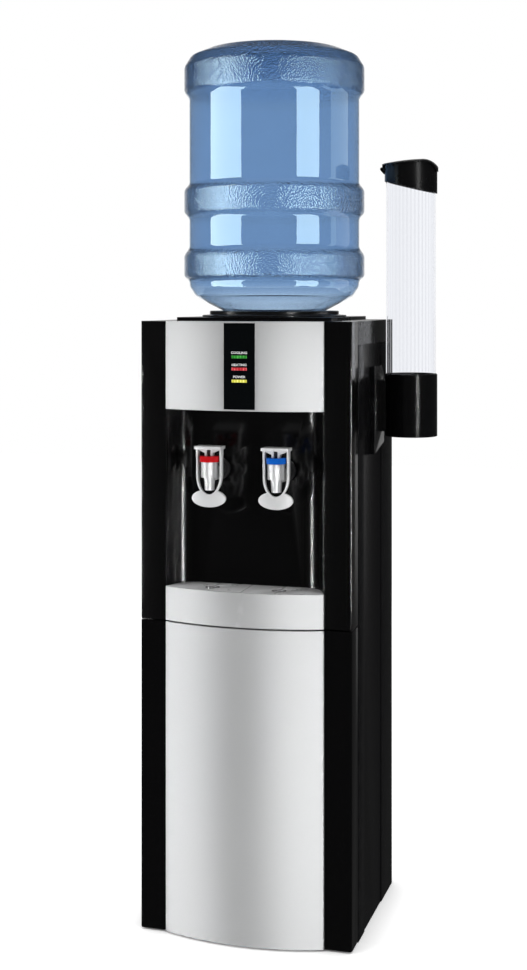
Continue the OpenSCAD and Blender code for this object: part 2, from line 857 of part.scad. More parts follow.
module storage_box() {
    half = pan_half - sheet_t - seat;
    color([0.88, 0.88, 0.88]) difference() {
        block([-half, sheet_y, pan_t], [half, sheet_y + box_d, shelf_z]);
        block([wall - half, sheet_y - over, pan_t + wall], [half - wall, sheet_y + box_d - wall, shelf_z - wall]);
    }
}

module compressor() {
    color([0.08, 0.08, 0.09]) union() {
        translate([comp_x, comp_y, comp_z]) rotate_extrude($fn = wide_fn)
            polygon([for (p = comp_shares) [p.x * comp_r, p.y * comp_h]]);
        block([comp_x - foot_x, comp_y - foot_y, comp_z - foot_t], [comp_x + foot_x, comp_y + foot_y, comp_z]);
        block([comp_x - comp_r - 2 * grommet_r, comp_y - 2 * grommet_r, comp_z + comp_h / 4],
              [comp_x - comp_r / 2, comp_y + 2 * grommet_r, comp_z + 3 * comp_h / 4]);
    }
}

module compressor_grommets() {
    color([0.1, 0.1, 0.1]) for (sx = [-1, 1], sy = [-1, 1])
        translate([comp_x + sx * (foot_x - grommet_r), comp_y + sy * (foot_y - grommet_r), pan_t])
            cylinder(r = grommet_r, h = grommet_h);
}

// Suction pipe, discharge pipe, and the liquid line with its drier and capillary
module refrigerant_pipes() {
    drier_top = cond_z1 - drier_drop;
    low = drier_top - drier_h - drier_tail;
    color([0.72, 0.45, 0.2]) union() {
        straight([comp_x - suction_off, comp_y, comp_z + comp_h], [comp_x - suction_off, comp_y, jacket_z], cond_r);
        tube_run([[comp_x + comp_r, comp_y, cond_z0], [cond_half, comp_y, cond_z0], [cond_half, rear_in, cond_z0]],
                 [pipe_bend], cond_r);
        tube_run([[-cond_half, rear_in, cond_z1], [-cond_half, drier_y, cond_z1], [-cond_half, drier_y, low],
                  [cap_pipe_x, drier_y, low], [cap_pipe_x, drier_y, jacket_z]],
                 [pipe_bend, pipe_bend, pipe_bend], cond_r);
        translate([-cond_half, drier_y, drier_top - drier_h]) cylinder(r = drier_r, h = drier_h);
    }
}

// Cold feed, hot feed, the link from the cold tank to the hot tank, and the drain
module water_pipes() {
    color([0.9, 0.9, 0.92]) union() {
        tube_run([[tap_x, cold_pipe_y, cold_z0], [tap_x, cold_pipe_y, tap_z], [tap_x, shank_end, tap_z]],
                 [pipe_bend], pipe_r);
        tube_run([[-tap_x, hot_y, hot_top], [-tap_x, hot_y, tap_z], [-tap_x, shank_end, tap_z]],
                 [pipe_bend], pipe_r);
        straight([feed_x, axis_y, hot_top], [feed_x, axis_y, cold_z0], pipe_r);
        tube_run([[hot_x, hot_y, hot_z], [hot_x, hot_y, hot_z - drain_drop], [hot_x, drain_y, hot_z - drain_drop],
                  [hot_x, drain_y, drain_z], [hot_x, rear_in, drain_z]],
                 [pipe_bend, pipe_bend, pipe_bend], pipe_r);
    }
}

module drain_outlet() {
    y1 = rear_out + outlet_flange_t;
    color([0.9, 0.9, 0.9]) union() {
        rod_y(hot_x, drain_z, rear_in, y1, spigot_r);
        rod_y(hot_x, drain_z, rear_out, y1, outlet_cap_r);
        rod_y(hot_x, drain_z, y1, y1 + spigot_l, spigot_r);
        rod_y(hot_x, drain_z, y1 + seat, y1 + spigot_l + outlet_flange_t, outlet_cap_r);
    }
}

// One tube to and fro behind the rear sheet, with a half-round bend at each end
module condenser_tube() {
    rows = [for (i = [0:cond_rows - 1]) let (e = i % 2 == 0 ? -cond_half : cond_half, z = cond_z0 + i * cond_pitch)
        i < cond_rows - 1 ? [[e, cond_y, z], [e, cond_y, z + cond_pitch]] : [[e, cond_y, z]]];
    path = concat([[cond_half, rear_in, cond_z0], [cond_half, cond_y, cond_z0]],
                  [for (r = rows, p = r) p], [[-cond_half, rear_in, cond_z1]]);
    bends = concat([cond_lead], [for (i = [1:2 * (cond_rows - 1)]) cond_pitch / 2], [cond_lead]);
    color([0.06, 0.06, 0.06]) tube_run(path, bends, cond_r);
}

// Upright wires before and behind the condenser tube, and the four clips that hold it
module condenser_wires() {
    step = 2 * (cond_half - wire_in) / (cond_wires - 1);
    color([0.06, 0.06, 0.06]) {
        for (i = [0:cond_wires - 1])
            translate([wire_in - cond_half + i * step,
                       cond_y + (i % 2 == 0 ? 1 : -1) * (cond_r + wire_r + wire_gap), cond_z0 - wire_out])
                cylinder(r = wire_r, h = cond_z1 - cond_z0 + 2 * wire_out, $fn = 16);
        for (s = [-1, 1], z = [cond_z0 + cond_pitch, cond_z1 - cond_pitch])
            difference() {
                block([s * (cond_half - clip_in) - clip_w / 2, rear_out, z - cond_r - clip_t],
                      [s * (cond_half - clip_in) + clip_w / 2, cond_y + cond_r + clip_t, z + cond_r + clip_t]);
                rod_x([s * (cond_half - clip_in), cond_y, z], clip_w, cond_r + wire_gap);
            }
    }
}

module switch_plate() {
    color([0.08, 0.08, 0.08]) difference() {
        union() {
            block([switch_x - switch_w / 2, rear_out, switch_z - switch_h / 2],
                  [switch_x + switch_w / 2, rear_out + switch_t, switch_z + switch_h / 2]);
            block([switch_x - switch_w / 2 + switch_t + seat, rear_out - switch_d, switch_z - switch_h / 2 + switch_t + seat],
                  [switch_x + switch_w / 2 - switch_t - seat, rear_out, switch_z + switch_h / 2 - switch_t - seat]);
        }
        for (s = [-1, 1])
            block([switch_x + s * rocker_pitch / 2 - rocker_w / 2 - seat, rear_out + switch_t - switch_d, switch_z - rocker_h / 2],
                  [switch_x + s * rocker_pitch / 2 + rocker_w / 2 + seat, rear_out + switch_t + over, switch_z + rocker_h / 2]);
        for (s = [-1, 1])
            rod_x([switch_x + s * rocker_pitch / 2, rear_out, switch_z],
                  rocker_w / 2 + rocker_pin_l + seat, rocker_pin_r + run);
    }
}

// A rocker on its pivot pin, tilted about the middle of its window as it rests
module rocker(s) {
    translate([switch_x + s * rocker_pitch / 2, rear_out, switch_z]) rotate([-rocker_tilt, 0, 0]) union() {
        rotate([90, 0, 90]) translate([0, 0, -rocker_w / 2]) linear_extrude(rocker_w)
            polygon(rocker_shares * rocker_h / 2);
        rod_x([0, 0, 0], rocker_w / 2 + rocker_pin_l, rocker_pin_r);
    }
}

module hot_switch() {
    color([0.75, 0.08, 0.08]) rocker(1);
}

module cold_switch() {
    color([0.1, 0.55, 0.2]) rocker(-1);
}

module cord_inlet() {
    color([0.05, 0.05, 0.05]) difference() {
        union() {
            rod_y(inlet_x, inlet_z, rear_out, rear_out + outlet_flange_t, inlet_r);
            rod_y(inlet_x, inlet_z, rear_in - spigot_l / 3, rear_out + spigot_l, spigot_r);
        }
        rod_y(inlet_x, inlet_z, rear_in - spigot_l, rear_out + 2 * spigot_l, inlet_bore);
    }
}

// The two hinge plates, each with its upright pin
module door_hinges() {
    z1 = split_z + wall;
    color([0.55, 0.56, 0.57]) {
        block([hinge_x - hinge_arm, hinge_y - boss_r, 0], [hinge_x + hinge_end, sheet_y, pan_t]);
        translate([hinge_x, hinge_y, 0]) cylinder(r = hinge_r, h = door_z0 + hinge_pin_l);
        block([hinge_x - hinge_arm, hinge_y - boss_r, z1], [hinge_x + hinge_end, hinge_y + boss_r, z1 + pan_t]);
        translate([hinge_x, hinge_y, door_z1 - hinge_pin_l]) cylinder(r = hinge_r, h = z1 + pan_t - door_z1 + hinge_pin_l);
    }
}

module door_magnet() {
    y0 = flank_y + strike_t + seat;
    color([0.2, 0.2, 0.2])
        block([strike_x - strike_w / 2, y0, shelf_z - wall - strike_h], [strike_x + strike_w / 2, y0 + magnet_d, shelf_z - wall]);
}

module door_frame() {
    color([0.05, 0.05, 0.05]) difference() {
        union() {
            front_shell(door_z0, door_z1);
            for (z = [door_z0, door_z1 - boss_h])
                translate([hinge_x, hinge_y, z]) cylinder(r = boss_r, h = boss_h);
        }
        translate([hinge_x, hinge_y, door_z0 - over]) cylinder(r = hinge_r + run, h = hinge_pin_l + 2 * over);
        translate([hinge_x, hinge_y, door_z1 - hinge_pin_l - over]) cylinder(r = hinge_r + run, h = hinge_pin_l + 2 * over);
    }
}

module door_panel() {
    color([0.75, 0.76, 0.77]) silver_shell(door_z0, door_z1);
}

module door_back() {
    color([0.1, 0.1, 0.1])
        block([wall + seat - half_w, flank_y - wall, door_z0 + wall + seat],
              [half_w - wall - seat, flank_y, door_z1 - wall - seat]);
}

module door_strike() {
    color([0.6, 0.6, 0.6])
        block([strike_x - strike_w / 2, flank_y, shelf_z - wall - strike_h], [strike_x + strike_w / 2, flank_y + strike_t, shelf_z - wall]);
}

// One tap body: barrel, spout, and the shank that goes through the niche's wall
module tap_body() {
    difference() {
        union() {
            translate([0, tap_y, barrel_z]) cylinder(r = barrel_r, h = barrel_h);
            translate([0, tap_y, barrel_z - spout_h]) cylinder(r1 = spout_tip_r, r2 = spout_r, h = spout_h);
            rod_y(0, tap_z, tap_y, shank_end, shank_r);
            block([-shank_r, tap_y + barrel_r / 2, barrel_z - rib_drop], [shank_r, tap_y + 2 * barrel_r, tap_z]);
        }
        translate([0, tap_y, chamber_z]) cylinder(r = chamber_r, h = barrel_h);
        translate([0, tap_y, barrel_z - spout_h - over]) cylinder(r = spout_r / 2, h = spout_h + barrel_h);
        rod_y(0, tap_z, tap_y, shank_end + over, water_r);
    }
}

module tap_bodies() {
    color([0.78, 0.79, 0.8]) for (s = [-1, 1]) translate([s * tap_x, 0, 0]) tap_body();
}

// The coloured ring that closes a barrel, with its index tab
module tap_ring() {
    difference() {
        union() {
            translate([0, tap_y, barrel_top]) cylinder(r = ring_r, h = ring_h);
            block([ring_r - over, tap_y - ring_tab, barrel_top + ring_h / 3], [ring_r + ring_tab, tap_y + ring_tab, ring_top]);
        }
        translate([0, tap_y, barrel_top - over]) cylinder(r = chamber_r, h = ring_h - ring_plate + over);
        translate([0, tap_y, barrel_top]) cylinder(r = stem_r + 2 * run, h = ring_h + over);
    }
}

module hot_ring() {
    color([0.75, 0.06, 0.08]) translate([-tap_x, 0, 0]) tap_ring();
}

module cold_ring() {
    color([0.05, 0.3, 0.75]) translate([tap_x, 0, 0]) tap_ring();
}

// The flange in front of the niche's wall and the nut behind it, for both taps
module tap_fittings() {
    color([0.1, 0.1, 0.1]) for (s = [-1, 1])
        difference() {
            union() {
                rod_y(s * tap_x, tap_z, niche_y - flange_t, niche_y, flange_r);
                rod_y(s * tap_x, tap_z, tap_y + 2 * barrel_r + seat, niche_y, collar_r);
                translate([s * tap_x, niche_y + wall, tap_z]) rotate([-90, 0, 0]) cylinder(r = nut_r, h = nut_t, $fn = 6);
            }
            rod_y(s * tap_x, tap_z, tap_y, niche_y + wall + nut_t + over, shank_r + seat);
        }
}

// The stem with its seal disc below and its eye and trunnions on top
module stem() {
    translate([0, tap_y, chamber_z + seat]) cylinder(r = disc_r, h = disc_t);
    translate([0, tap_y, chamber_z + seat]) cylinder(r = stem_r, h = pin_z - chamber_z - seat);
    rod_x([0, tap_y, pin_z], eye_half, eye_r);
    rod_x([0, tap_y, pin_z], trunnion_half, pin_r);
}

module hot_stem() {
    color([0.06, 0.06, 0.06]) translate([-tap_x, 0, 0]) stem();
}

module cold_stem() {
    color([0.06, 0.06, 0.06]) translate([tap_x, 0, 0]) stem();
}

module oval(a, b) {
    polygon([for (i = [0:oval_n - 1]) [a * cos(360 * i / oval_n), b * sin(360 * i / oval_n)]]);
}

// A lever seen from the front: cap, shoulders, two arms and an oval paddle
module lever_front() {
    outer = lever_w / 2;
    inner = outer - arm_t;
    low = paddle_top - throat;
    cheek = eye_half + seat + cheek_w;
    translate([-outer - cap_over, lever_plate_z]) square([lever_w + 2 * cap_over, cap_plate]);
    polygon([[-outer, lever_plate_z], [-cheek - cheek_flare, pin_z], [-cheek, pin_z], [-cheek, lever_low],
             [cheek, lever_low], [cheek, pin_z], [cheek + cheek_flare, pin_z], [outer, lever_plate_z]]);
    difference() {
        union() {
            translate([0, arm_z]) oval(outer, arm_z - low + arm_t);
            translate([-outer, arm_z]) square([lever_w, lever_plate_z - arm_z + run]);
            translate([0, paddle_top - paddle_h / 2]) oval(paddle_w / 2, paddle_h / 2);
        }
        translate([0, arm_z]) oval(inner, arm_z - low);
        translate([-inner, arm_z]) square([2 * inner, lever_plate_z - arm_z]);
    }
}

// A lever seen from the side
module lever_side() {
    low = paddle_top - throat;
    end = paddle_top - paddle_h;
    half = [[cap_d / 2, lever_top], [cap_d / 2, lever_plate_z], [cheek_d / 2, lever_plate_z - cheek_w / 2],
            [cheek_d / 2, lever_low], [arm_d / 2, lever_low - pin_rise], [arm_d / 2, arm_z]];
    polygon(concat([for (p = half) [-p.x, p.y]],
                   [[-paddle_lean - paddle_t / 2, low], [-paddle_lean - paddle_t / 2, end],
                    [paddle_t / 2 - paddle_lean, end], [paddle_t / 2 - paddle_lean, low]],
                   [for (i = [len(half) - 1:-1:0]) half[i]]));
}

module lever() {
    slot = eye_half + seat;
    translate([0, tap_y, 0]) difference() {
        intersection() {
            translate([0, cap_d, 0]) rotate([90, 0, 0]) linear_extrude(2 * cap_d) lever_front();
            translate([-paddle_w, 0, 0]) rotate([90, 0, 90]) linear_extrude(2 * paddle_w) lever_side();
        }
        block([-slot, -cap_d, lever_low - over], [slot, cap_d, pin_z + eye_r + seat]);
        rod_x([0, 0, pin_z], lever_w, pin_r + run);
    }
}

module hot_lever() {
    color([0.8, 0.81, 0.82]) translate([-tap_x, 0, 0]) lever();
}

module cold_lever() {
    color([0.8, 0.81, 0.82]) translate([tap_x, 0, 0]) lever();
}

// The return spring between the seal disc and the ring's plate
module tap_spring() {
    translate([0, tap_y, 0]) coil(spring_r, spring_wire, disc_top + spring_wire + seat,
                                  ring_top - ring_plate - spring_wire - seat, spring_turns, 12, 6);
}

module hot_spring() {
    color([0.6, 0.6, 0.6]) translate([-tap_x, 0, 0]) tap_spring();
}

module cold_spring() {
    color([0.6, 0.6, 0.6]) translate([tap_x, 0, 0]) tap_spring();
}

// Plan of the tray, drawn in by one gap in the niche and by another behind the silver front
module tray_plan(g_niche, g_bow) {
    niche_plan(-g_niche, front_y);
    bow_plan(g_bow, 2 * over);
}

module drip_tray() {
    color([0.12, 0.12, 0.13]) difference() {
        translate([0, 0, tray_floor]) linear_extrude(grille_z - seat - tray_floor) tray_plan(tray_gap, wall + seat);
        translate([0, 0, tray_floor + tray_t]) linear_extrude(tray_h)
            tray_plan(tray_gap + tray_t, wall + seat + tray_t);
    }
}

module tray_front() {
    color([0.75, 0.76, 0.77]) difference() {
        translate([0, 0, split_z]) linear_extrude(tray_h) bow_plan(0, -seat);
        translate([0, 0, split_z - over]) linear_extrude(tray_h + 2 * over) bow_plan(wall, over);
    }
}

module drip_grille() {
    color([0.45, 0.46, 0.47]) difference() {
        translate([0, 0, grille_z]) linear_extrude(grille_t) tray_plan(tray_gap, wall + seat);
        for (s = [-1, 0, 1])
            block([s * tap_x - groove_w / 2, bow_front, tray_z - groove_d], [s * tap_x + groove_w / 2, niche_y, tray_z + over]);
        for (s = [-1, 1])
            translate([s * tap_x, tap_y + rosette_back, grille_z - over]) cylinder(r = rosette_r + seat, h = grille_t + 2 * over);
    }
}

// Dished drain rosettes under the taps
module grille_rosettes() {
    color([0.8, 0.8, 0.8]) for (s = [-1, 1])
        translate([s * tap_x, tap_y + rosette_back, 0]) difference() {
            rotate_extrude() polygon([
                [0, grille_z], [rosette_r, grille_z], [rosette_r, tray_z],
                [rosette_r - groove_w, tray_z], [rosette_r / 2, grille_z + groove_d], [0, grille_z + groove_d]]);
            for (i = [0:rosette_holes - 1])
                rotate([0, 0, 360 * i / rosette_holes]) translate([rosette_r / 2, 0, grille_z - over])
                    cylinder(r = rosette_bore, h = grille_t + 2 * over, $fn = 16);
        }
}

// The bottle: neck, shoulder, three wide bands, two barrels and a domed top
module bottle() {
    body = eased(concat([[neck_r, shoulder(neck_r)], [shoulder_r, 0]],
                        [for (p = bottle_shares) [p.x * bottle_r, p.y * bottle_h]]));
    n = len(body) - 1;
    inside = [for (i = [n:-1:0]) [max(body[i].x - bottle_t, 0), body[i].y + bottle_t * (1 - 2 * body[i].y / bottle_h)]];
    mouth = mouth_z - seat_z;
    color([0.4, 0.55, 0.85, 0.5]) translate([0, axis_y, seat_z]) rotate_extrude($fn = wide_fn)
        polygon(concat([[neck_r, mouth]], body, inside, [[neck_r - bottle_t, mouth]]));
}

module bottle_cap() {
    inner = neck_r + seat;
    color([0.2, 0.4, 0.8]) translate([0, axis_y, mouth_z]) rotate_extrude() polygon([
        [cap_hole_r, -cap_t], [inner + cap_t, -cap_t], [inner + cap_t, cap_grip],
        [inner, cap_grip], [inner, 0], [cap_hole_r, 0]]);
}

// Bracket on the side sheet, with the arm that reaches to the housing
module cup_bracket() {
    x1 = field_x + plate_t;
    z1 = housing_top + plate_high;
    z0 = housing_z - plate_low;
    color([0.04, 0.04, 0.04]) difference() {
        union() {
            translate([field_x, 0, 0]) rotate([90, 0, 90]) linear_extrude(plate_t) polygon([
                [cup_y - plate_half, z0], [cup_y + plate_half, z0 + plate_slant],
                [cup_y + plate_half, z1 - plate_slant], [cup_y + plate_half / 2, z1], [cup_y - plate_half, z1]]);
            block([x1 - over, cup_y - arm_half, housing_z + arm_low], [cup_x, cup_y + arm_half, housing_top - arm_high]);
        }
        translate([cup_x, cup_y, housing_z - over]) cylinder(r = housing_r + seat / 2, h = housing_h + 2 * over);
    }
}

module cup_housing() {
    color([0.04, 0.04, 0.04]) translate([cup_x, cup_y, housing_z]) difference() {
        cylinder(r = housing_r, h = housing_h);
        translate([0, 0, ledge_t]) cylinder(r = housing_in, h = tube_z - ledge_t - ledge_t - housing_z);
        translate([0, 0, tube_z - housing_z]) cylinder(r = housing_in, h = housing_h);
        translate([0, 0, -over]) cylinder(r = ledge_r, h = housing_h);
    }
}

module cup_tube() {
    color([0.9, 0.92, 0.96, 0.4]) translate([cup_x, cup_y, tube_z]) linear_extrude(tube_top - tube_z) difference() {
        polygon([for (i = [0:2 * flutes - 1]) let (a = 180 * i / flutes, r = tube_r - (i % 2) * flute_d) r * [cos(a), sin(a)]]);
        circle(r = tube_r - tube_t);
    }
}

// The solid under the lid's curved sheet, drawn in by g: a long slope from the hinge and a tight bend beyond the crown
module lid_form(g) {
    slope = [for (i = [0:lid_arc_n]) let (a = lid_arc * i / lid_arc_n)
        [lid_crown - lid_slope + (lid_slope - g) * cos(a), (lid_slope - g) * sin(a)]];
    translate([cup_x + lid_crown_x, cup_y, crown_z - lid_crown]) rotate([0, -90, 0])
        rotate_extrude($fn = wide_fn) hull() {
            translate([lid_crown - lid_bend, 0]) circle(r = lid_bend - g, $fn = wide_fn / 2);
            polygon(concat([[0, 0]], slope, [[0, slope[lid_arc_n].y]]));
            translate([0, g - lid_bend]) square([lid_bend, lid_bend - g]);
        }
}

// The ring on top of the tube: slanted below, curved on top, with the ears of the lid's hinge
module cup_cap_ring() {
    low = cap_z - cap_skirt;
    far = housing_r + over;
    color([0.04, 0.04, 0.04]) union() {
        difference() {
            intersection() {
                translate([cup_x, cup_y, low - cap_slope]) cylinder(r = housing_r, h = crown_z - low + cap_slope);
                translate([cup_x, cup_y + far, 0]) rotate([90, 0, 0]) linear_extrude(2 * far)
                    polygon([[-far, low], [far, low - cap_slope], [far, crown_z], [-far, crown_z]]);
                lid_form(lid_t + seat);
            }
            translate([cup_x, cup_y, low - cap_slope - over]) cylinder(r = housing_in, h = tube_top + seat - low + cap_slope + over);
            translate([cup_x, cup_y, low]) cylinder(r = ledge_r, h = crown_z - low);
        }
        for (s = [-1, 1])
            difference() {
                hull() {
                    rod_y(lid_pin_x, lid_pin_z, cup_y + s * ear_y - ear_t / 2, cup_y + s * ear_y + ear_t / 2, knuckle_r);
                    block([cup_x - housing_r, cup_y + s * ear_y - ear_t / 2, lid_pin_z - 3 * knuckle_r],
                          [cup_x - housing_r + holder_t, cup_y + s * ear_y + ear_t / 2, lid_pin_z + knuckle_r]);
                }
                translate([cup_x, cup_y, low - over]) cylinder(r = housing_in, h = crown_z - low);
            }
        rod_y(lid_pin_x, lid_pin_z, cup_y - ear_y, cup_y + ear_y, lid_pin_r);
    }
}

// The lid: one curved sheet with the knuckle of its hinge
module cup_lid() {
    knuckle_half = ear_y - ear_t / 2 - knuckle_gap;
    color([0.06, 0.06, 0.06]) difference() {
        union() {
            intersection() {
                difference() {
                    lid_form(0);
                    lid_form(lid_t);
                }
                translate([cup_x, cup_y, cap_z - 2 * lid_t]) cylinder(r = housing_r + lid_over, h = lid_h + 4 * lid_t);
            }
            rod_y(lid_pin_x, lid_pin_z, cup_y - knuckle_half, cup_y + knuckle_half, knuckle_r);
            intersection() {
                block([lid_pin_x, cup_y - knuckle_half, lid_pin_z],
                      [cup_x - housing_r - knuckle_gap, cup_y + knuckle_half, crown_z]);
                lid_form(0);
            }
        }
        rod_y(lid_pin_x, lid_pin_z, cup_y - ear_y, cup_y + ear_y, lid_pin_r + run);
    }
}

// The soft ring at the foot of the housing, whose fingers hold the lowest cup
module cup_gripper() {
    outer = housing_in - seat;
    color([0.85, 0.85, 0.85]) translate([cup_x, cup_y, housing_z + ledge_t]) difference() {
        union() {
            difference() {
                cylinder(r = outer, h = gripper_t);
                translate([0, 0, -over]) cylinder(r = outer - gripper_w, h = gripper_t + 2 * over);
            }
            for (i = [0:finger_n - 1])
                rotate([0, 0, 360 * i / finger_n]) translate([outer - finger_in, -finger_w / 2, 0])
                    cube([finger_in - gripper_w / 2, finger_w, gripper_t]);
        }
        translate([0, 0, -over]) cylinder(r = outer - finger_in + over / 2, h = gripper_t + 2 * over);
    }
}

base_pan();
left_side_panel();
right_side_panel();
rear_panel();
top_cover();
upper_front_frame();
top_front_panel();
indicator_strip();
green_lens();
red_lens();
yellow_lens();
indicator_board();
bottle_seat();
bottle_probe();
cold_tank();
tank_jacket();
evaporator_coil();
tank_bracket();
hot_tank();
tank_shelf();
storage_box();
compressor();
compressor_grommets();
refrigerant_pipes();
water_pipes();
drain_outlet();
condenser_tube();
condenser_wires();
switch_plate();
cord_inlet();
door_hinges();
door_magnet();
tap_bodies();
hot_ring();
cold_ring();
tap_fittings();
cup_bracket();
cup_housing();
cup_tube();
cup_cap_ring();
cup_gripper();
door_frame();
door_panel();
door_back();
door_strike();
hot_stem();
cold_stem();
hot_lever();
cold_lever();
hot_spring();
cold_spring();
drip_tray();
tray_front();
drip_grille();
grille_rosettes();
bottle();
bottle_cap();
cup_lid();
hot_switch();
cold_switch();
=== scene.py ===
"""A free-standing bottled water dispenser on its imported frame. Metres, +X right, +Y to the rear, +Z up."""
import math
import bmesh
import bpy
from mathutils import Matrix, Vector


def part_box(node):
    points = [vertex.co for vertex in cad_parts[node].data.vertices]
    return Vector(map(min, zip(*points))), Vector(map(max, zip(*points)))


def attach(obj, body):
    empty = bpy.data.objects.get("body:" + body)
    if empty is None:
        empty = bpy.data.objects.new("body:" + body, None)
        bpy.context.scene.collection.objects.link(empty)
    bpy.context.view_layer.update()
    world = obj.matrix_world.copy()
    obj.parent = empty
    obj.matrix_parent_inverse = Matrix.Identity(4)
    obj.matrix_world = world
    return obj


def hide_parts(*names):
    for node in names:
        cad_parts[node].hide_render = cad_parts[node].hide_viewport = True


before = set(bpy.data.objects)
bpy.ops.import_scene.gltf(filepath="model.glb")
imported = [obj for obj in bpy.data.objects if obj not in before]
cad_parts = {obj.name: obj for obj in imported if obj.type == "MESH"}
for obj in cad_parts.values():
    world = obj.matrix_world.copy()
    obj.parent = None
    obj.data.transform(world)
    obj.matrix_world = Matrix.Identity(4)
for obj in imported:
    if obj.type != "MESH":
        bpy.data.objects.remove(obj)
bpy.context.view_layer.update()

# Camera
# It stands a little to the cooler's right, at the height of the bottle's seat, and looks level.
# The frame is shifted down, so that the uprights stay upright.
CAMERA_PLACE = (0.6378, -2.2071, 0.9020)
CAMERA_TURN = math.radians(16.44)
LENS = 57.06
FRAME_DROP = -0.1908

camera = bpy.data.objects.new("camera", bpy.data.cameras.new("camera"))
bpy.context.scene.collection.objects.link(camera)
camera.location = CAMERA_PLACE
camera.rotation_euler = (math.radians(90), 0, CAMERA_TURN)
camera.data.sensor_fit = "AUTO"
camera.data.lens = LENS
camera.data.shift_y = FRAME_DROP
bpy.context.scene.camera = camera
bpy.context.scene.view_settings.view_transform = "Standard"

# Studio
# A white room with a pale floor. Three wide soft boxes light the cooler. The bottle, the silver
# fronts and the black mouldings each have their own cards or strips, which only they mirror.


def feed(tree, socket, value):
    """Links an output to a socket, or sets the socket's own value."""
    if isinstance(value, bpy.types.NodeSocket):
        tree.links.new(value, socket)
    else:
        socket.default_value = value


def add(tree, kind, *inputs, **settings):
    """A new node with its settings, and its first inputs fed in order. None leaves an input as it is."""
    made = tree.nodes.new("ShaderNode" + kind)
    for name, value in settings.items():
        setattr(made, name, value)
    for socket, value in zip(made.inputs, inputs):
        if value is not None:
            feed(tree, socket, value)
    return made


def calc(tree, operation, *inputs):
    """The result of a Math node."""
    return add(tree, "Math", *inputs, operation=operation).outputs[0]


def ramp(tree, value, low, high, start=0.0, end=1.0):
    """A smooth step: start below low, end above high."""
    made = add(tree, "MapRange", value, low, high, start, end, interpolation_type="SMOOTHSTEP")
    return made.outputs[0]


def blend_colours(tree, share, first, second):
    """The colour between two others at a share."""
    made = add(tree, "Mix", data_type="RGBA")
    feed(tree, made.inputs["Factor"], share)
    feed(tree, made.inputs["A"], first)
    feed(tree, made.inputs["B"], second)
    return made.outputs["Result"]


ROOM_LIGHT = 0.28
ROOM_WHITE = 1.0
BACKDROP_WAY = (-0.283, 0.959, 0.0)
BACKDROP_EDGE = (0.92, 0.98)
MIRROR_DIM = 0.04
MIRROR_CEILING = 0.35
CEILING_BAND = (0.5, 0.95)
CLEAR_DIM = 0.30
CLEAR_BAND = (0.24, 0.56)

room = bpy.data.worlds.new("room")
bpy.context.scene.world = room
room.use_nodes = True
sky = room.node_tree
sky.nodes.clear()
way = add(sky, "TexCoord").outputs["Generated"]
rays = add(sky, "LightPath").outputs
up = add(sky, "SeparateXYZ", way).outputs["Z"]
toward = add(sky, "VectorMath", way, BACKDROP_WAY, operation="DOT_PRODUCT").outputs["Value"]
bounced = calc(sky, "MULTIPLY", rays["Is Glossy Ray"],
               calc(sky, "SUBTRACT", 1.0, rays["Is Transmission Ray"]))
mirrored = calc(sky, "MAXIMUM", ramp(sky, toward, *BACKDROP_EDGE, MIRROR_DIM, ROOM_WHITE),
                ramp(sky, up, *CEILING_BAND, 0.0, MIRROR_CEILING))
through = ramp(sky, up, *CLEAR_BAND, ROOM_WHITE, CLEAR_DIM)
level = calc(sky, "MULTIPLY", bounced, mirrored)
level = calc(sky, "ADD", level, calc(sky, "MULTIPLY", rays["Is Transmission Ray"], through))
level = calc(sky, "ADD", level, calc(sky, "MULTIPLY", rays["Is Camera Ray"], ROOM_WHITE))
level = calc(sky, "ADD", level, calc(sky, "MULTIPLY", rays["Is Diffuse Ray"], ROOM_LIGHT))
backdrop = add(sky, "Background", (1, 1, 1, 1), level)
add(sky, "OutputWorld", backdrop.outputs[0])

FLOOR_HALF = 6.0
FLOOR_GREY = 0.62
FLOOR_GLOW = 0.78
FLOOR_SHADE = 1.0
CONTACT_SHADOW_REACH = 0.06

floor_mesh = bpy.data.meshes.new("floor")
floor_mesh.from_pydata([(x * FLOOR_HALF, y * FLOOR_HALF, 0) for x, y in ((-1, -1), (1, -1), (1, 1), (-1, 1))],
                       [], [(0, 1, 2, 3)])
floor = bpy.data.objects.new("floor", floor_mesh)
bpy.context.scene.collection.objects.link(floor)
floor_paint = bpy.data.materials.new("floor_paint")
floor_paint.use_nodes = True
tree = floor_paint.node_tree
tree.nodes.clear()
rays = add(tree, "LightPath").outputs
seen = calc(tree, "MAXIMUM", rays["Is Camera Ray"], rays["Is Transmission Ray"])
# Painted contact shadow: the floor's glow dims where an occlusion test finds the cooler close by.
painted_shadow_open = add(tree, "AmbientOcclusion", None, CONTACT_SHADOW_REACH).outputs["AO"]
glow = calc(tree, "MULTIPLY", calc(tree, "MULTIPLY", seen, FLOOR_GLOW), painted_shadow_open)
shade = add(tree, "MapRange", seen, 0.0, 1.0, FLOOR_GREY, FLOOR_SHADE).outputs[0]
lit = add(tree, "BsdfDiffuse", add(tree, "CombineColor", shade, shade, shade).outputs[0])
both = add(tree, "AddShader", add(tree, "Emission", (1, 1, 1, 1), glow).outputs[0], lit.outputs[0])
add(tree, "OutputMaterial", both.outputs[0])
floor_mesh.materials.append(floor_paint)
floor.visible_glossy = False
floor.visible_shadow = False

LIT_X, LIT_Y = 0.0, -0.05
WINDOW_COLOUR = (0.90, 1.0, 0.96)


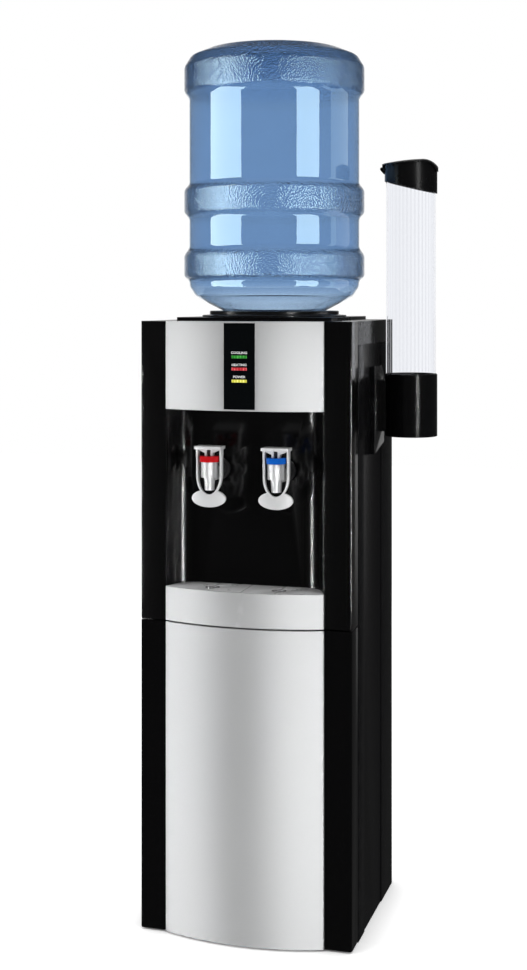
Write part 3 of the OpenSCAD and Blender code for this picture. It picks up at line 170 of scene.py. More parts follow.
def lamp(name, bearing, distance, low, high, width, radiance, mirrored_by=None, sharp=False):
    """An upright soft box facing the cooler, at a bearing from the front in degrees (right is positive).
    A box that some pieces mirror gives no other light. A sharp one shows clearly in a smooth skin."""
    data = bpy.data.lights.new(name, "AREA")
    data.shape = "RECTANGLE"
    data.size = width
    data.size_y = high - low
    data.energy = radiance * math.pi * width * (high - low)
    data.color = WINDOW_COLOUR if sharp else (1, 1, 1)
    made = bpy.data.objects.new(name, data)
    bpy.context.scene.collection.objects.link(made)
    b = math.radians(bearing)
    made.location = (LIT_X + distance * math.sin(b), LIT_Y - distance * math.cos(b), (low + high) / 2)
    made.rotation_euler = (math.radians(90), 0, b)
    made.visible_camera = False
    made.visible_transmission = False
    made.visible_diffuse = mirrored_by is None
    made.visible_glossy = mirrored_by is not None
    data.cycles.use_multiple_importance_sampling = sharp
    if mirrored_by:
        made.light_linking.receiver_collection = mirrored_by


BY_BOTTLE = bpy.data.collections.new("mirror_the_windows")
BY_SILVER = bpy.data.collections.new("mirror_the_cards")
BY_BLACK = bpy.data.collections.new("mirror_the_strips")
BY_NICHE = bpy.data.collections.new("mirror_the_niche_strips")
lamp("left_box", -53, 2.0, -1.3, 2.3, 1.9, 2.2)
lamp("right_box", 62, 2.0, -1.3, 2.3, 1.3, 2.3)
lamp("back_box", 180, 2.4, 0.2, 2.2, 2.4, 1.3)
lamp("left_window", -53, 2.0, -1.0, 2.2, 1.85, 11.0, BY_BOTTLE, sharp=True)
lamp("right_window", 62, 2.0, -1.0, 1.62, 1.15, 10.0, BY_BOTTLE, sharp=True)
lamp("far_window", 114, 2.0, -1.0, 2.2, 1.25, 1.5, BY_BOTTLE, sharp=True)
lamp("left_card", -56, 2.0, -2.6, 1.6, 1.70, 2.5, BY_SILVER)
lamp("right_card", 25, 2.0, -2.6, 1.6, 1.87, 2.75, BY_SILVER)
lamp("left_strip", -70, 2.0, 0.0, 2.2, 0.36, 4.5, BY_BLACK)
lamp("right_strip", 46, 2.0, 0.0, 2.2, 0.40, 4.5, BY_BLACK)
lamp("left_niche_strip", -46, 1.98, -0.5, 1.2, 0.50, 15.0, BY_NICHE)
lamp("right_niche_strip", 80, 1.98, -0.5, 1.2, 0.90, 22.0, BY_NICHE)


def shown_in(lights, names):
    """Pieces join those that mirror a set of lights."""
    for name in names.split():
        lights.objects.link(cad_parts[name])


# Base pan and side sheets
# Folded steel sheet 1 mm thick, painted black with a fine satin grain, and screwed to the pan.
# Each side has a shallow pressed field, and its paint is a little worn along the folds.


def group(name, inputs, outputs):
    """An empty node group with named inputs, where a tuple is a colour, and named outputs."""
    made = bpy.data.node_groups.new(name, "ShaderNodeTree")
    for label, value in inputs.items():
        kind = "NodeSocketColor" if isinstance(value, tuple) else "NodeSocketFloat"
        made.interface.new_socket(label, in_out="INPUT", socket_type=kind).default_value = value
    for label in outputs:
        kind = "NodeSocketColor" if label == "Colour" else "NodeSocketFloat"
        made.interface.new_socket(label, in_out="OUTPUT", socket_type=kind)
    return made, made.nodes.new("NodeGroupInput").outputs, made.nodes.new("NodeGroupOutput").inputs


# A noise is its scale, where that isn't a material's own, its detail and its roughness.
NOISE_SWING = 4.0
CLOUD_NOISE = (4.0, 0.55)
FINE_NOISE = (2.0, 0.5)
CLOUD_SHARE = 0.75


def grain_group():
    """The skin of a painted or moulded surface: cloudy tone, uneven gloss and a fine grain."""
    tree, given, out = group("surface_grain", {"Colour": (0.5, 0.5, 0.5, 1), "Roughness": 0.4, "Tone": 0.15,
                                               "Unevenness": 0.06, "Cloud": 14.0, "Grain": 900.0},
                             ("Colour", "Roughness", "Height"))
    place = add(tree, "TexCoord").outputs["Object"]
    cloud = add(tree, "TexNoise", place, None, given["Cloud"], *CLOUD_NOISE).outputs[0]
    fine = add(tree, "TexNoise", place, None, given["Grain"], *FINE_NOISE).outputs[0]
    both = calc(tree, "ADD", calc(tree, "MULTIPLY", cloud, CLOUD_SHARE),
                calc(tree, "MULTIPLY", fine, 1 - CLOUD_SHARE))
    swing = calc(tree, "MULTIPLY", calc(tree, "SUBTRACT", both, 0.5),
                 calc(tree, "MULTIPLY", given["Tone"], NOISE_SWING))
    bright = calc(tree, "ADD", swing, 1.0)
    scaled = add(tree, "VectorMath", given["Colour"], operation="SCALE")
    feed(tree, scaled.inputs["Scale"], bright)
    feed(tree, out["Colour"], scaled.outputs[0])
    uneven = calc(tree, "MULTIPLY", calc(tree, "SUBTRACT", cloud, 0.5),
                  calc(tree, "MULTIPLY", given["Unevenness"], NOISE_SWING))
    feed(tree, out["Roughness"], calc(tree, "ADD", given["Roughness"], uneven))
    feed(tree, out["Height"], fine)
    return tree


RUB_SHINE = 0.1
RUB_NOISE = (60.0, 3.0, 0.6)
RUB_POINTED = (0.52, 0.60)
RUB_PATCHES = (0.35, 0.65)


def rub_group():
    """Edges rubbed lighter and shinier where hands and cloths reach them."""
    tree, given, out = group("rubbed_edges", {"Colour": (0.5, 0.5, 0.5, 1), "Roughness": 0.4,
                                              "Rubbed": (0.6, 0.6, 0.6, 1), "Amount": 0.3},
                             ("Colour", "Roughness"))
    place = add(tree, "TexCoord").outputs["Object"]
    sharp = add(tree, "NewGeometry").outputs["Pointiness"]
    patchy = add(tree, "TexNoise", place, None, *RUB_NOISE).outputs[0]
    edge = calc(tree, "MULTIPLY", ramp(tree, sharp, *RUB_POINTED), ramp(tree, patchy, *RUB_PATCHES))
    share = calc(tree, "MULTIPLY", edge, given["Amount"])
    feed(tree, out["Colour"], blend_colours(tree, share, given["Colour"], given["Rubbed"]))
    feed(tree, out["Roughness"],
         calc(tree, "SUBTRACT", given["Roughness"], calc(tree, "MULTIPLY", share, RUB_SHINE)))
    return tree


DUST_DULLS = 0.5
DUST_NOISE = (26.0, 5.0, 0.62)
DUST_FACING = (0.5, 0.95)
DUST_PATCHES = (0.3, 0.75)


def dust_group():
    """Fine dust on faces that look up, in soft patches."""
    tree, given, out = group("settled_dust", {"Colour": (0.5, 0.5, 0.5, 1), "Roughness": 0.4,
                                              "Dust": (0.55, 0.53, 0.5, 1), "Amount": 0.1},
                             ("Colour", "Roughness"))
    place = add(tree, "TexCoord").outputs["Object"]
    facing = add(tree, "SeparateXYZ", add(tree, "NewGeometry").outputs["Normal"]).outputs["Z"]
    patches = add(tree, "TexNoise", place, None, *DUST_NOISE).outputs[0]
    lying = calc(tree, "MULTIPLY", ramp(tree, facing, *DUST_FACING), ramp(tree, patches, *DUST_PATCHES))
    share = calc(tree, "MULTIPLY", lying, given["Amount"])
    feed(tree, out["Colour"], blend_colours(tree, share, given["Colour"], given["Dust"]))
    feed(tree, out["Roughness"],
         calc(tree, "ADD", given["Roughness"], calc(tree, "MULTIPLY", share, DUST_DULLS)))
    return tree


GRAIN = grain_group()
RUB = rub_group()
DUST = dust_group()


def place_group(tree, kind, **inputs):
    """A node group in a material, with its named inputs fed."""
    made = tree.nodes.new("ShaderNodeGroup")
    made.node_tree = kind
    for label, value in inputs.items():
        feed(tree, made.inputs[label], value)
    return made.outputs


def finish(name, colour, roughness, tone=0.15, cloud=14.0, grain=900.0, depth=0.0, unevenness=0.05,
           rubbed=None, rub=0.3, dust=0.06, **shader_values):
    """A material: grained skin, rubbed edges and dust, and plain values on the shader's own sockets."""
    made = bpy.data.materials.new(name)
    made.use_nodes = True
    tree = made.node_tree
    shader = tree.nodes["Principled BSDF"]
    skin = place_group(tree, GRAIN, Colour=(*colour, 1), Roughness=roughness, Tone=tone, Cloud=cloud,
                       Grain=grain, Unevenness=unevenness)
    layer = skin
    if rubbed:
        layer = place_group(tree, RUB, Colour=layer["Colour"], Roughness=layer["Roughness"],
                            Rubbed=(*rubbed, 1), Amount=rub)
    if dust:
        layer = place_group(tree, DUST, Colour=layer["Colour"], Roughness=layer["Roughness"], Amount=dust)
    feed(tree, shader.inputs["Base Color"], layer["Colour"])
    feed(tree, shader.inputs["Roughness"], layer["Roughness"])
    if depth:
        bump = add(tree, "Bump")
        feed(tree, bump.inputs["Strength"], 1.0)
        feed(tree, bump.inputs["Distance"], depth)
        feed(tree, bump.inputs["Height"], skin["Height"])
        feed(tree, shader.inputs["Normal"], bump.outputs[0])
    for label, value in shader_values.items():
        shader.inputs[label.replace("_", " ")].default_value = value
    return made


SMOOTH_TURN = math.radians(32)


def soft_shading():
    """A modifier group that shades a mesh smooth, apart from edges sharper than its angle."""
    tree = bpy.data.node_groups.new("soft_shading", "GeometryNodeTree")
    tree.interface.new_socket("Geometry", in_out="INPUT", socket_type="NodeSocketGeometry")
    tree.interface.new_socket("Geometry", in_out="OUTPUT", socket_type="NodeSocketGeometry")
    angle = tree.interface.new_socket("Angle", in_out="INPUT", socket_type="NodeSocketFloat")
    angle.default_value = SMOOTH_TURN
    given = tree.nodes.new("NodeGroupInput")
    out = tree.nodes.new("NodeGroupOutput")
    faces = tree.nodes.new("GeometryNodeSetShadeSmooth")
    faces.domain = "FACE"
    edges = tree.nodes.new("GeometryNodeSetShadeSmooth")
    edges.domain = "EDGE"
    turn = tree.nodes.new("GeometryNodeInputMeshEdgeAngle")
    below = tree.nodes.new("FunctionNodeCompare")
    below.operation = "LESS_THAN"
    tree.links.new(turn.outputs["Unsigned Angle"], below.inputs["A"])
    tree.links.new(given.outputs["Angle"], below.inputs["B"])
    tree.links.new(given.outputs["Geometry"], faces.inputs["Geometry"])
    tree.links.new(faces.outputs[0], edges.inputs["Geometry"])
    tree.links.new(below.outputs[0], edges.inputs["Shade Smooth"])
    tree.links.new(edges.outputs[0], out.inputs["Geometry"])
    return tree


SOFT_SHADING = soft_shading()
WELD_GAP = 0.00001
FLAT_TURN = math.radians(0.6)
EDGE_TURN = math.radians(34)
EDGE_ROUND = 0.0004


def dress(names, material, edge=EDGE_ROUND, segments=2):
    """CAD nodes take a material, one skin in place of their split faces, and finely rounded edges."""
    for name in names.split():
        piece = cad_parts[name]
        for slot in piece.material_slots:
            slot.material = material
        normals = piece.data.attributes.get("custom_normal")
        if normals:
            piece.data.attributes.remove(normals)
        weld = piece.modifiers.new("weld", "WELD")
        weld.merge_threshold = WELD_GAP
        if edge:
            flat = piece.modifiers.new("flat", "DECIMATE")
            flat.decimate_type = "DISSOLVE"
            flat.angle_limit = FLAT_TURN
            bevel = piece.modifiers.new("edge", "BEVEL")
            bevel.limit_method = "ANGLE"
            bevel.angle_limit = EDGE_TURN
            bevel.width = edge
            bevel.segments = segments
            bevel.use_clamp_overlap = True
        soft = piece.modifiers.new("soft_shading", "NODES")
        soft.node_group = SOFT_SHADING


black_sheet = finish("black_sheet", (0.0035, 0.0035, 0.004), 0.26, tone=0.10, cloud=9.0, grain=700.0,
                     unevenness=0.015, rubbed=(0.05, 0.05, 0.052), rub=0.12, dust=0.02,
                     Specular_IOR_Level=0.10)
zinc_sheet = finish("zinc_sheet", (0.46, 0.47, 0.48), 0.42, tone=0.22, cloud=70.0, grain=300.0,
                    rubbed=(0.7, 0.7, 0.72), Metallic=0.85)
dress("left_side_panel right_side_panel", black_sheet, edge=0.0003)
dress("base_pan", zinc_sheet, edge=0.0003)

# Rear sheet
# Plain dark galvanised steel with two fields of louvres. It is screwed inside the side sheets
# and carries the condenser and the switches.
rear_sheet = finish("rear_sheet", (0.060, 0.061, 0.064), 0.5, tone=0.06, cloud=40.0, grain=500.0,
                    Metallic=0.35)
dress("rear_panel", rear_sheet, edge=0.0003)

# Cooling and heating parts inside
# Stainless tanks, one in a foam jacket, a black enamelled compressor on rubber feet, copper
# pipes for the refrigerant and white hoses for the water, on zinc-plated shelves. The white
# storage box stands behind the door.
stainless = finish("stainless", (0.60, 0.60, 0.61), 0.24, tone=0.08, cloud=30.0, grain=1500.0, Metallic=1.0)
foam = finish("foam", (0.80, 0.79, 0.74), 0.85, tone=0.12, cloud=30.0, grain=450.0, depth=0.0004, dust=0.1)
copper = finish("copper", (0.72, 0.38, 0.22), 0.30, tone=0.22, cloud=45.0, grain=800.0, Metallic=1.0)
black_enamel = finish("black_enamel", (0.016, 0.016, 0.018), 0.24, tone=0.15, cloud=20.0, depth=0.00004,
                      rubbed=(0.2, 0.19, 0.18), dust=0.14)
black_rubber = finish("black_rubber", (0.020, 0.020, 0.021), 0.72, tone=0.2, cloud=60.0, depth=0.0001,
                      dust=0.12)
hose = finish("hose", (0.78, 0.79, 0.80), 0.38, tone=0.05, cloud=30.0, Subsurface_Weight=0.15,
              Subsurface_Radius=(0.004, 0.004, 0.004))
white_plastic = finish("white_plastic", (0.74, 0.74, 0.73), 0.42, tone=0.05, cloud=16.0, depth=0.00004)
dress("cold_tank hot_tank", stainless)
dress("tank_jacket", foam)
dress("evaporator_coil refrigerant_pipes", copper, edge=0)
dress("compressor", black_enamel)
dress("compressor_grommets", black_rubber)
dress("water_pipes", hose, edge=0)
dress("tank_bracket tank_shelf", zinc_sheet, edge=0.0003)
dress("storage_box", white_plastic)

# Top cover and moulded upper front
# Black ABS mouldings. The front is glossy and holds the niche; the cover has a raised deck and
# a finer satin grain, and clips over the side sheets. A slim black rubber sheet at each side, under
# the front, darkens the seam over the door: painted shade.
black_gloss = finish("black_gloss", (0.0018, 0.0018, 0.002), 0.15, tone=0.04, cloud=7.0, grain=1300.0,
                     unevenness=0.01, dust=0.0, Specular_IOR_Level=0.40)
black_moulding = finish("black_moulding", (0.0035, 0.0035, 0.0038), 0.28, tone=0.10, cloud=9.0, grain=900.0,
                        rubbed=(0.05, 0.05, 0.053), rub=0.12, dust=0.03, Specular_IOR_Level=0.32)
dress("upper_front_frame", black_gloss, edge=0.0006)
dress("top_cover", black_moulding, edge=0.0009, segments=3)
shown_in(BY_NICHE, "upper_front_frame")

# Black sheets in the seam over the door: painted shade in the seam.
FIN_THICK = 0.001
FIN_INSET = 0.0007
FIN_SETBACK = 0.004
FIN_SHORT = 0.001
SEAM_CLEAR = 0.0003
front_low, front_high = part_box("upper_front_frame")
door_low, door_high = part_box("door_frame")
shade_sheet_mesh = bmesh.new()
for side in (-1, 1):
    fin = bmesh.ops.create_cube(shade_sheet_mesh, size=1.0)["verts"]
    for v in fin:
        v.co = (side * (front_high.x - FIN_INSET - (0.5 - v.co.x) * FIN_THICK),
                door_low.y + FIN_SETBACK if v.co.y < 0 else door_high.y - FIN_SHORT,
                door_high.z + SEAM_CLEAR if v.co.z < 0 else front_low.z)
bmesh.ops.recalc_face_normals(shade_sheet_mesh, faces=shade_sheet_mesh.faces)
shade_sheet_data = bpy.data.meshes.new("seam_shade_sheets")
shade_sheet_mesh.to_mesh(shade_sheet_data)
shade_sheet_mesh.free()
shade_sheet_data.materials.append(black_rubber)
seam_shade_sheets = bpy.data.objects.new("seam_shade_sheets", shade_sheet_data)
bpy.context.scene.collection.objects.link(seam_shade_sheets)
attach(seam_shade_sheets, "cabinet")

# Silver fronts
# Bowed ABS panels in a fine metallic paint: the upper panel round the indicator, the front of
# the drip tray and the door's panel. They stand proud on their frames.
FLAKE_DULLS = 0.5


def flake_group():
    """Fine metal flakes in a paint: each tiny cell is a little lighter or darker, and duller or shinier."""
    tree, given, out = group("metal_flakes", {"Colour": (0.6, 0.6, 0.6, 1), "Roughness": 0.4, "Size": 2600.0,
                                              "Spread": 0.12}, ("Colour", "Roughness"))
    place = add(tree, "TexCoord").outputs["Object"]
    cells = add(tree, "TexVoronoi", place)
    feed(tree, cells.inputs["Scale"], given["Size"])
    each = add(tree, "SeparateXYZ", cells.outputs["Color"]).outputs["X"]
    swing = calc(tree, "MULTIPLY", calc(tree, "SUBTRACT", each, 0.5), given["Spread"])
    scaled = add(tree, "VectorMath", given["Colour"], operation="SCALE")
    feed(tree, scaled.inputs["Scale"], calc(tree, "ADD", swing, 1.0))
    feed(tree, out["Colour"], scaled.outputs[0])
    feed(tree, out["Roughness"],
         calc(tree, "ADD", given["Roughness"], calc(tree, "MULTIPLY", swing, FLAKE_DULLS)))
    return tree


FLAKES = flake_group()


def flaked(name, colour, roughness, spread, **shader_values):
    """A metallic paint: flakes over a grained skin."""
    made = finish(name, colour, roughness, tone=0.025, cloud=5.0, unevenness=0.015, dust=0.0,
                  rubbed=(0.82, 0.82, 0.83), rub=0.2, **shader_values)
    tree = made.node_tree
    shader = tree.nodes["Principled BSDF"]
    under = {label: shader.inputs[label].links[0].from_socket for label in ("Base Color", "Roughness")}
    flakes = place_group(tree, FLAKES, Colour=under["Base Color"], Roughness=under["Roughness"],
                         Spread=spread)
    feed(tree, shader.inputs["Base Color"], flakes["Colour"])
    feed(tree, shader.inputs["Roughness"], flakes["Roughness"])
    return made


silver_paint = flaked("silver_paint", (0.442, 0.447, 0.451), 0.42, 0.05, Metallic=0.60)
dress("top_front_panel door_panel tray_front", silver_paint, edge=0.0008, segments=3)
shown_in(BY_SILVER, "top_front_panel door_panel tray_front")

# Indicator
# A smoked acrylic strip with three lit windows in the upper panel, each under a printed word,
# and the small circuit board behind them.
dark_strip = finish("dark_strip", (0.0012, 0.0019, 0.0024), 0.10, tone=0.1, cloud=30.0, grain=1500.0,
                    dust=0.0, Specular_IOR_Level=0.45)
circuit_board = finish("circuit_board", (0.02, 0.16, 0.05), 0.4, tone=0.2, cloud=300.0)
dress("indicator_strip", dark_strip, edge=0.0002)
dress("indicator_board", circuit_board, edge=0.0002)

SEGMENTS_PER_METRE = 230.0
SEGMENT_MIDDLE = (0.10, 0.46)
SPOT_NOISE = (190.0, 1.0, 0.5)
SPOTS = (0.38, 0.58)
SPOT_DIM = 0.35
LENS_GLOW = 0.85


def window_finish(name, colour, glow, bright):
    """A lit window: small segments with brighter middles behind coloured acrylic."""
    made = finish(name, colour, 0.22, tone=0.1, cloud=150.0, dust=0.0)
    tree = made.node_tree
    shader = tree.nodes["Principled BSDF"]
    place = add(tree, "TexCoord").outputs["Object"]
    along = add(tree, "SeparateXYZ", place).outputs["X"]
    across = calc(tree, "FRACT", calc(tree, "MULTIPLY", along, SEGMENTS_PER_METRE))
    middle = calc(tree, "ABSOLUTE", calc(tree, "SUBTRACT", across, 0.5))
    share = ramp(tree, middle, *SEGMENT_MIDDLE, 1.0, 0.0)
    spotty = add(tree, "TexNoise", place, None, *SPOT_NOISE).outputs[0]
    share = calc(tree, "MULTIPLY", share, ramp(tree, spotty, *SPOTS, SPOT_DIM, 1.0))
    feed(tree, shader.inputs["Emission Color"], blend_colours(tree, share, (*glow, 1), (*bright, 1)))
    shader.inputs["Emission Strength"].default_value = LENS_GLOW
    return made


# Of each window: its acrylic, then its glow between the segments and in their middles.
WINDOWS = {
    "green": ((0.004, 0.05, 0.005), (0.002, 0.12, 0.006), (0.18, 0.80, 0.16)),
    "red": ((0.10, 0.002, 0.004), (0.40, 0.002, 0.010), (1.0, 0.20, 0.22)),
    "yellow": ((0.22, 0.21, 0.01), (0.48, 0.45, 0.02), (1.0, 0.98, 0.34)),
}
for window_name, window_colours in WINDOWS.items():
    dress(window_name + "_lens", window_finish(window_name + "_window", *window_colours), edge=0)

WORD_HEIGHT = 0.0032
WORD_RISE = 0.0059
WORD_PROUD = 0.00006
CAPITAL_SHARE = 0.70
WORD_STRETCH = 1.12
STROKE_SPREAD = 0.00012
INK_THICK = 0.00005
white_print = finish("white_print", (0.86, 0.86, 0.86), 0.5, tone=0.06, cloud=200.0, dust=0.0)
panel_low, panel_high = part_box("top_front_panel")
half_span = (panel_high.x - panel_low.x) / 2
column_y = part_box("upper_front_frame")[0].y
PANEL_PROUD = 0.003
bow_rise = column_y - PANEL_PROUD - panel_low.y
bow_radius = (half_span ** 2 + bow_rise ** 2) / (2 * bow_rise)
bow_centre_y = panel_low.y + bow_radius


def on_bow(x, outward):
    """The Y of a point on the bowed front, a distance outward of its face."""
    return bow_centre_y - math.sqrt((bow_radius + outward) ** 2 - x ** 2)


def printed_word(word, lens):
    """A word printed on the strip over its window, bent onto the bow."""
    low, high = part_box(lens)
    text = bpy.data.curves.new("print", "FONT")
    text.body = word
    text.size = WORD_HEIGHT / CAPITAL_SHARE
    text.align_x = "CENTER"
    text.resolution_u = 3
    text.offset = STROKE_SPREAD
    source = bpy.data.objects.new("print", text)
    bpy.context.scene.collection.objects.link(source)
    bpy.context.view_layer.update()
    mesh = bpy.data.meshes.new_from_object(source.evaluated_get(bpy.context.evaluated_depsgraph_get()))
    bpy.data.objects.remove(source)
    mid_z = (low.z + high.z) / 2
    strip_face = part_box("indicator_strip")[0].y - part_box("top_front_panel")[0].y
    for v in mesh.vertices:
        x, z = v.co.x * WORD_STRETCH, v.co.y + mid_z + WORD_RISE - WORD_HEIGHT / 2
        v.co = (x, on_bow(x, WORD_PROUD - strip_face), z)
    made = bpy.data.objects.new("print_" + word.lower(), mesh)
    bpy.context.scene.collection.objects.link(made)
    mesh.materials.clear()
    mesh.materials.append(white_print)
    thick = made.modifiers.new("ink", "SOLIDIFY")
    thick.thickness = INK_THICK
    thick.offset = 1
    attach(made, "cabinet")


for word, lens in (("COOLING", "green_lens"), ("HEATING", "red_lens"), ("POWER", "yellow_lens")):
    printed_word(word, lens)

# Door
# The lower front: a glossy black frame with the silver panel proud on it and a plain back
# plate, hung on two steel pins and held shut by a magnet and its strike.
magnet_finish = finish("magnet", (0.10, 0.095, 0.09), 0.6, tone=0.2, cloud=90.0)
dress("door_frame", black_gloss, edge=0.0006)
dress("door_back", black_moulding)
dress("door_strike door_hinges", zinc_sheet, edge=0.0002)
dress("door_magnet", magnet_finish)

# Taps
# Push taps: silver-painted bodies with a red or a blue ring, black flanges and nuts, a black
# stem with its steel spring, and a forked silver lever whose oval paddle a cup presses.
tap_silver = flaked("tap_silver", (0.74, 0.745, 0.75), 0.32, 0.02, Metallic=0.35)
body_silver = flaked("body_silver", (0.56, 0.565, 0.57), 0.36, 0.02, Metallic=0.60)
red_ring = finish("red_ring", (0.50, 0.006, 0.010), 0.2, tone=0.08, cloud=90.0, dust=0.0)
blue_ring = finish("blue_ring", (0.003, 0.105, 0.50), 0.2, tone=0.08, cloud=90.0, dust=0.0)
black_trim = finish("black_trim", (0.022, 0.022, 0.023), 0.32, tone=0.12, cloud=50.0, rubbed=(0.2, 0.2, 0.2))
spring_steel = finish("spring_steel", (0.55, 0.55, 0.56), 0.25, tone=0.1, cloud=90.0, Metallic=1.0)
dress("tap_bodies", body_silver, edge=0.0005)
dress("hot_lever cold_lever", tap_silver, edge=0.0007, segments=3)
dress("hot_ring", red_ring, edge=0.0005)
dress("cold_ring", blue_ring, edge=0.0005)
dress("tap_fittings", black_trim, edge=0.0005)
dress("hot_stem cold_stem", black_trim, edge=0.0002)
dress("hot_spring cold_spring", spring_steel, edge=0)
shown_in(BY_SILVER, "tap_bodies hot_lever cold_lever hot_spring cold_spring")
shown_in(BY_NICHE, "hot_spring cold_spring tap_fittings")

# Drip tray
# A dark basin behind its silver front, under a grey lift-off grille with three grooves and
# two dished chrome rosettes.
tray_plastic = finish("tray_plastic", (0.014, 0.014, 0.015), 0.35, tone=0.15, cloud=30.0, dust=0.05)
grille_plastic = finish("grille_plastic", (0.80, 0.805, 0.81), 0.30, tone=0.06, cloud=20.0, grain=900.0,
                        depth=0.00004, rubbed=(0.9, 0.9, 0.9))
rosette_chrome = finish("rosette_chrome", (0.82, 0.82, 0.83), 0.22, tone=0.06, cloud=60.0, Metallic=0.65)
# Painted shade: the grille's grooves turn near-black with their depth below its top.
GRILLE_SHADE_DEPTH = (0.0003, 0.0009)
GRILLE_GROOVE_SHADE = (0.02, 0.02, 0.021, 1)
tree = grille_plastic.node_tree
shader = tree.nodes["Principled BSDF"]
sunk = calc(tree, "SUBTRACT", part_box("drip_grille")[1].z,
            add(tree, "SeparateXYZ", add(tree, "TexCoord").outputs["Object"]).outputs["Z"])
top_grey = shader.inputs["Base Color"].links[0].from_socket
feed(tree, shader.inputs["Base Color"],
     blend_colours(tree, ramp(tree, sunk, *GRILLE_SHADE_DEPTH), top_grey, GRILLE_GROOVE_SHADE))
dress("drip_tray", tray_plastic)
dress("drip_grille", grille_plastic, edge=0.0005)
dress("grille_rosettes", rosette_chrome, edge=0.0003)
shown_in(BY_SILVER, "drip_grille grille_rosettes")
shown_in(BY_NICHE, "grille_rosettes")

# Bottle seat
# A black moulded ring in two steps on the deck, with the funnel and the guard tube inside it.
# The white probe in its middle opens the bottle's cap.
seat_finish = finish("seat_moulding", (0.0075, 0.0075, 0.0082), 0.20, tone=0.1, cloud=12.0, unevenness=0.02,
                     rubbed=(0.12, 0.12, 0.12), Specular_IOR_Level=0.5)
dress("bottle_seat", seat_finish, edge=0.0008, segments=3)
dress("bottle_probe", white_plastic)
shown_in(BY_BLACK, "bottle_seat")

# Bottle
# A blown polycarbonate bottle, upside down: smooth barrels and shoulder, a pebbled texture on
# its two bands and on the dome, and a wall 2 mm thick. The white snap cap is inside the seat.
dress("bottle_cap", white_plastic, edge=0.0002)

bottle_low, bottle_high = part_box("bottle")
BOTTLE_AXIS = ((bottle_low.x + bottle_high.x) / 2, (bottle_low.y + bottle_high.y) / 2)
BOTTLE_RADIUS = (bottle_high.x - bottle_low.x) / 2
SEAT_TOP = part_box("bottle_seat")[1].z
BOTTLE_HEIGHT = bottle_high.z - SEAT_TOP
BOTTLE_WALL = 0.002
NECK_RADIUS = 0.028
NECK_CONE = 0.45
SHOULDER_RADIUS = 0.077
CORNER_REACH = 0.006
HELD_FROM = 2.5
CORNER_CUTS = 3
BOTTLE_SIDES = 160
ON_AXIS = 0.000001
# The outline above the seat, as shares of the radius and of the height.
BOTTLE_SHARES = ((0.73, 0.0265), (0.875, 0.0561), (0.94, 0.0898), (0.945, 0.1143), (1, 0.1285), (1, 0.2091),
                 (0.945, 0.2367), (0.945, 0.3469), (1, 0.3693), (1, 0.455), (0.945, 0.4775), (0.945, 0.8019),
                 (1, 0.8264), (1, 0.9182), (0.93, 0.957), (0.74, 0.984), (0.46, 1), (0, 1))


def held(points, reach):
    """An outline with a point on each side of its corners, so that easing rounds no more than their reach."""
    kept = [points[0]]
    for a, b in zip(points, points[1:]):
        length = math.dist(a, b)
        if length > HELD_FROM * reach:
            near = reach / length
            kept += [tuple(p + (q - p) * s for p, q in zip(a, b)) for s in (near, 1 - near)]
        kept.append(b)
    return kept


def eased(points, times):
    """An outline with its corners cut several times over, at the quarters of its sides."""
    for _ in range(times):
        cut = [points[0]]
        for a, b in zip(points, points[1:]):
            cut += [tuple(p + (q - p) * s for p, q in zip(a, b)) for s in (0.25, 0.75)]
        points = cut + [points[-1]]
    return points


def revolve(name, outline, centre, around, material):
    """A closed outline of (radius, height) points turned about an upright axis. Those on it are shared."""
    mesh = bmesh.new()
    rings = []
    for radius, z in outline:
        if radius < ON_AXIS:
            rings.append([mesh.verts.new((centre[0], centre[1], z))] * around)
            continue
        rings.append([mesh.verts.new((centre[0] + radius * math.cos(2 * math.pi * i / around),
                                      centre[1] + radius * math.sin(2 * math.pi * i / around), z))
                      for i in range(around)])
    for lower, upper in zip(rings, rings[1:] + rings[:1]):
        for i in range(around):
            j = (i + 1) % around
            corners = list(dict.fromkeys((lower[i], lower[j], upper[j], upper[i])))
            if len(corners) > 2:
                mesh.faces.new(corners).smooth = True
    bmesh.ops.recalc_face_normals(mesh, faces=mesh.faces)
    data = bpy.data.meshes.new(name)
    mesh.to_mesh(data)
    mesh.free()
    data.materials.append(material)
    made = bpy.data.objects.new(name, data)
    bpy.context.scene.collection.objects.link(made)
    return made


def drawn_in(outline, wall):
    """The outline a wall's thickness inside another, along its normals."""
    inner = []
    for i, (r, z) in enumerate(outline):
        a, b = outline[max(i - 1, 0)], outline[min(i + 1, len(outline) - 1)]
        dr, dz = b[0] - a[0], b[1] - a[1]
        size = math.hypot(dr, dz)
        inner.append((max(r - wall * dz / size, 0.0), z + wall * dr / size))
    return inner


NECK_TOP = SEAT_TOP + (NECK_RADIUS - SHOULDER_RADIUS) * NECK_CONE
skin_outline = eased(held([(NECK_RADIUS, NECK_TOP), (SHOULDER_RADIUS, SEAT_TOP)]
                          + [(r * BOTTLE_RADIUS, SEAT_TOP + z * BOTTLE_HEIGHT) for r, z in BOTTLE_SHARES],
                          CORNER_REACH), CORNER_CUTS)
skin_outline = [(NECK_RADIUS, bottle_low.z), (NECK_RADIUS, (bottle_low.z + NECK_TOP) / 2)] + skin_outline
lining = drawn_in(skin_outline, BOTTLE_WALL)
lining[0] = (NECK_RADIUS - BOTTLE_WALL, bottle_low.z)
lining[-1] = (0.0, skin_outline[-1][1] - BOTTLE_WALL)

PEBBLE_SIZE = 360.0
PEBBLE_DEPTH = 0.0008
PEBBLE_BLUR = 0.03
SMOOTH_BLUR = 0.015
# From and to which shares of the height the pebbles run.
BAND_SHARES = ((0.124, 0.222), (0.364, 0.463), (0.822, 1.1))
BAND_EDGE = 0.004
# Painted light: the bottle's blue turns paler towards the seat.
SHOULDER_PAINTED_LIGHT = (0.68, 0.82, 0.97)
SHOULDER_LIGHT_SHARE = 0.13
# Painted shade: the bottle's blue turns darker over the dome.
DOME_PAINTED_SHADE = (0.31, 0.46, 0.68)
DOME_SHADE_SHARES = (0.80, 0.87)

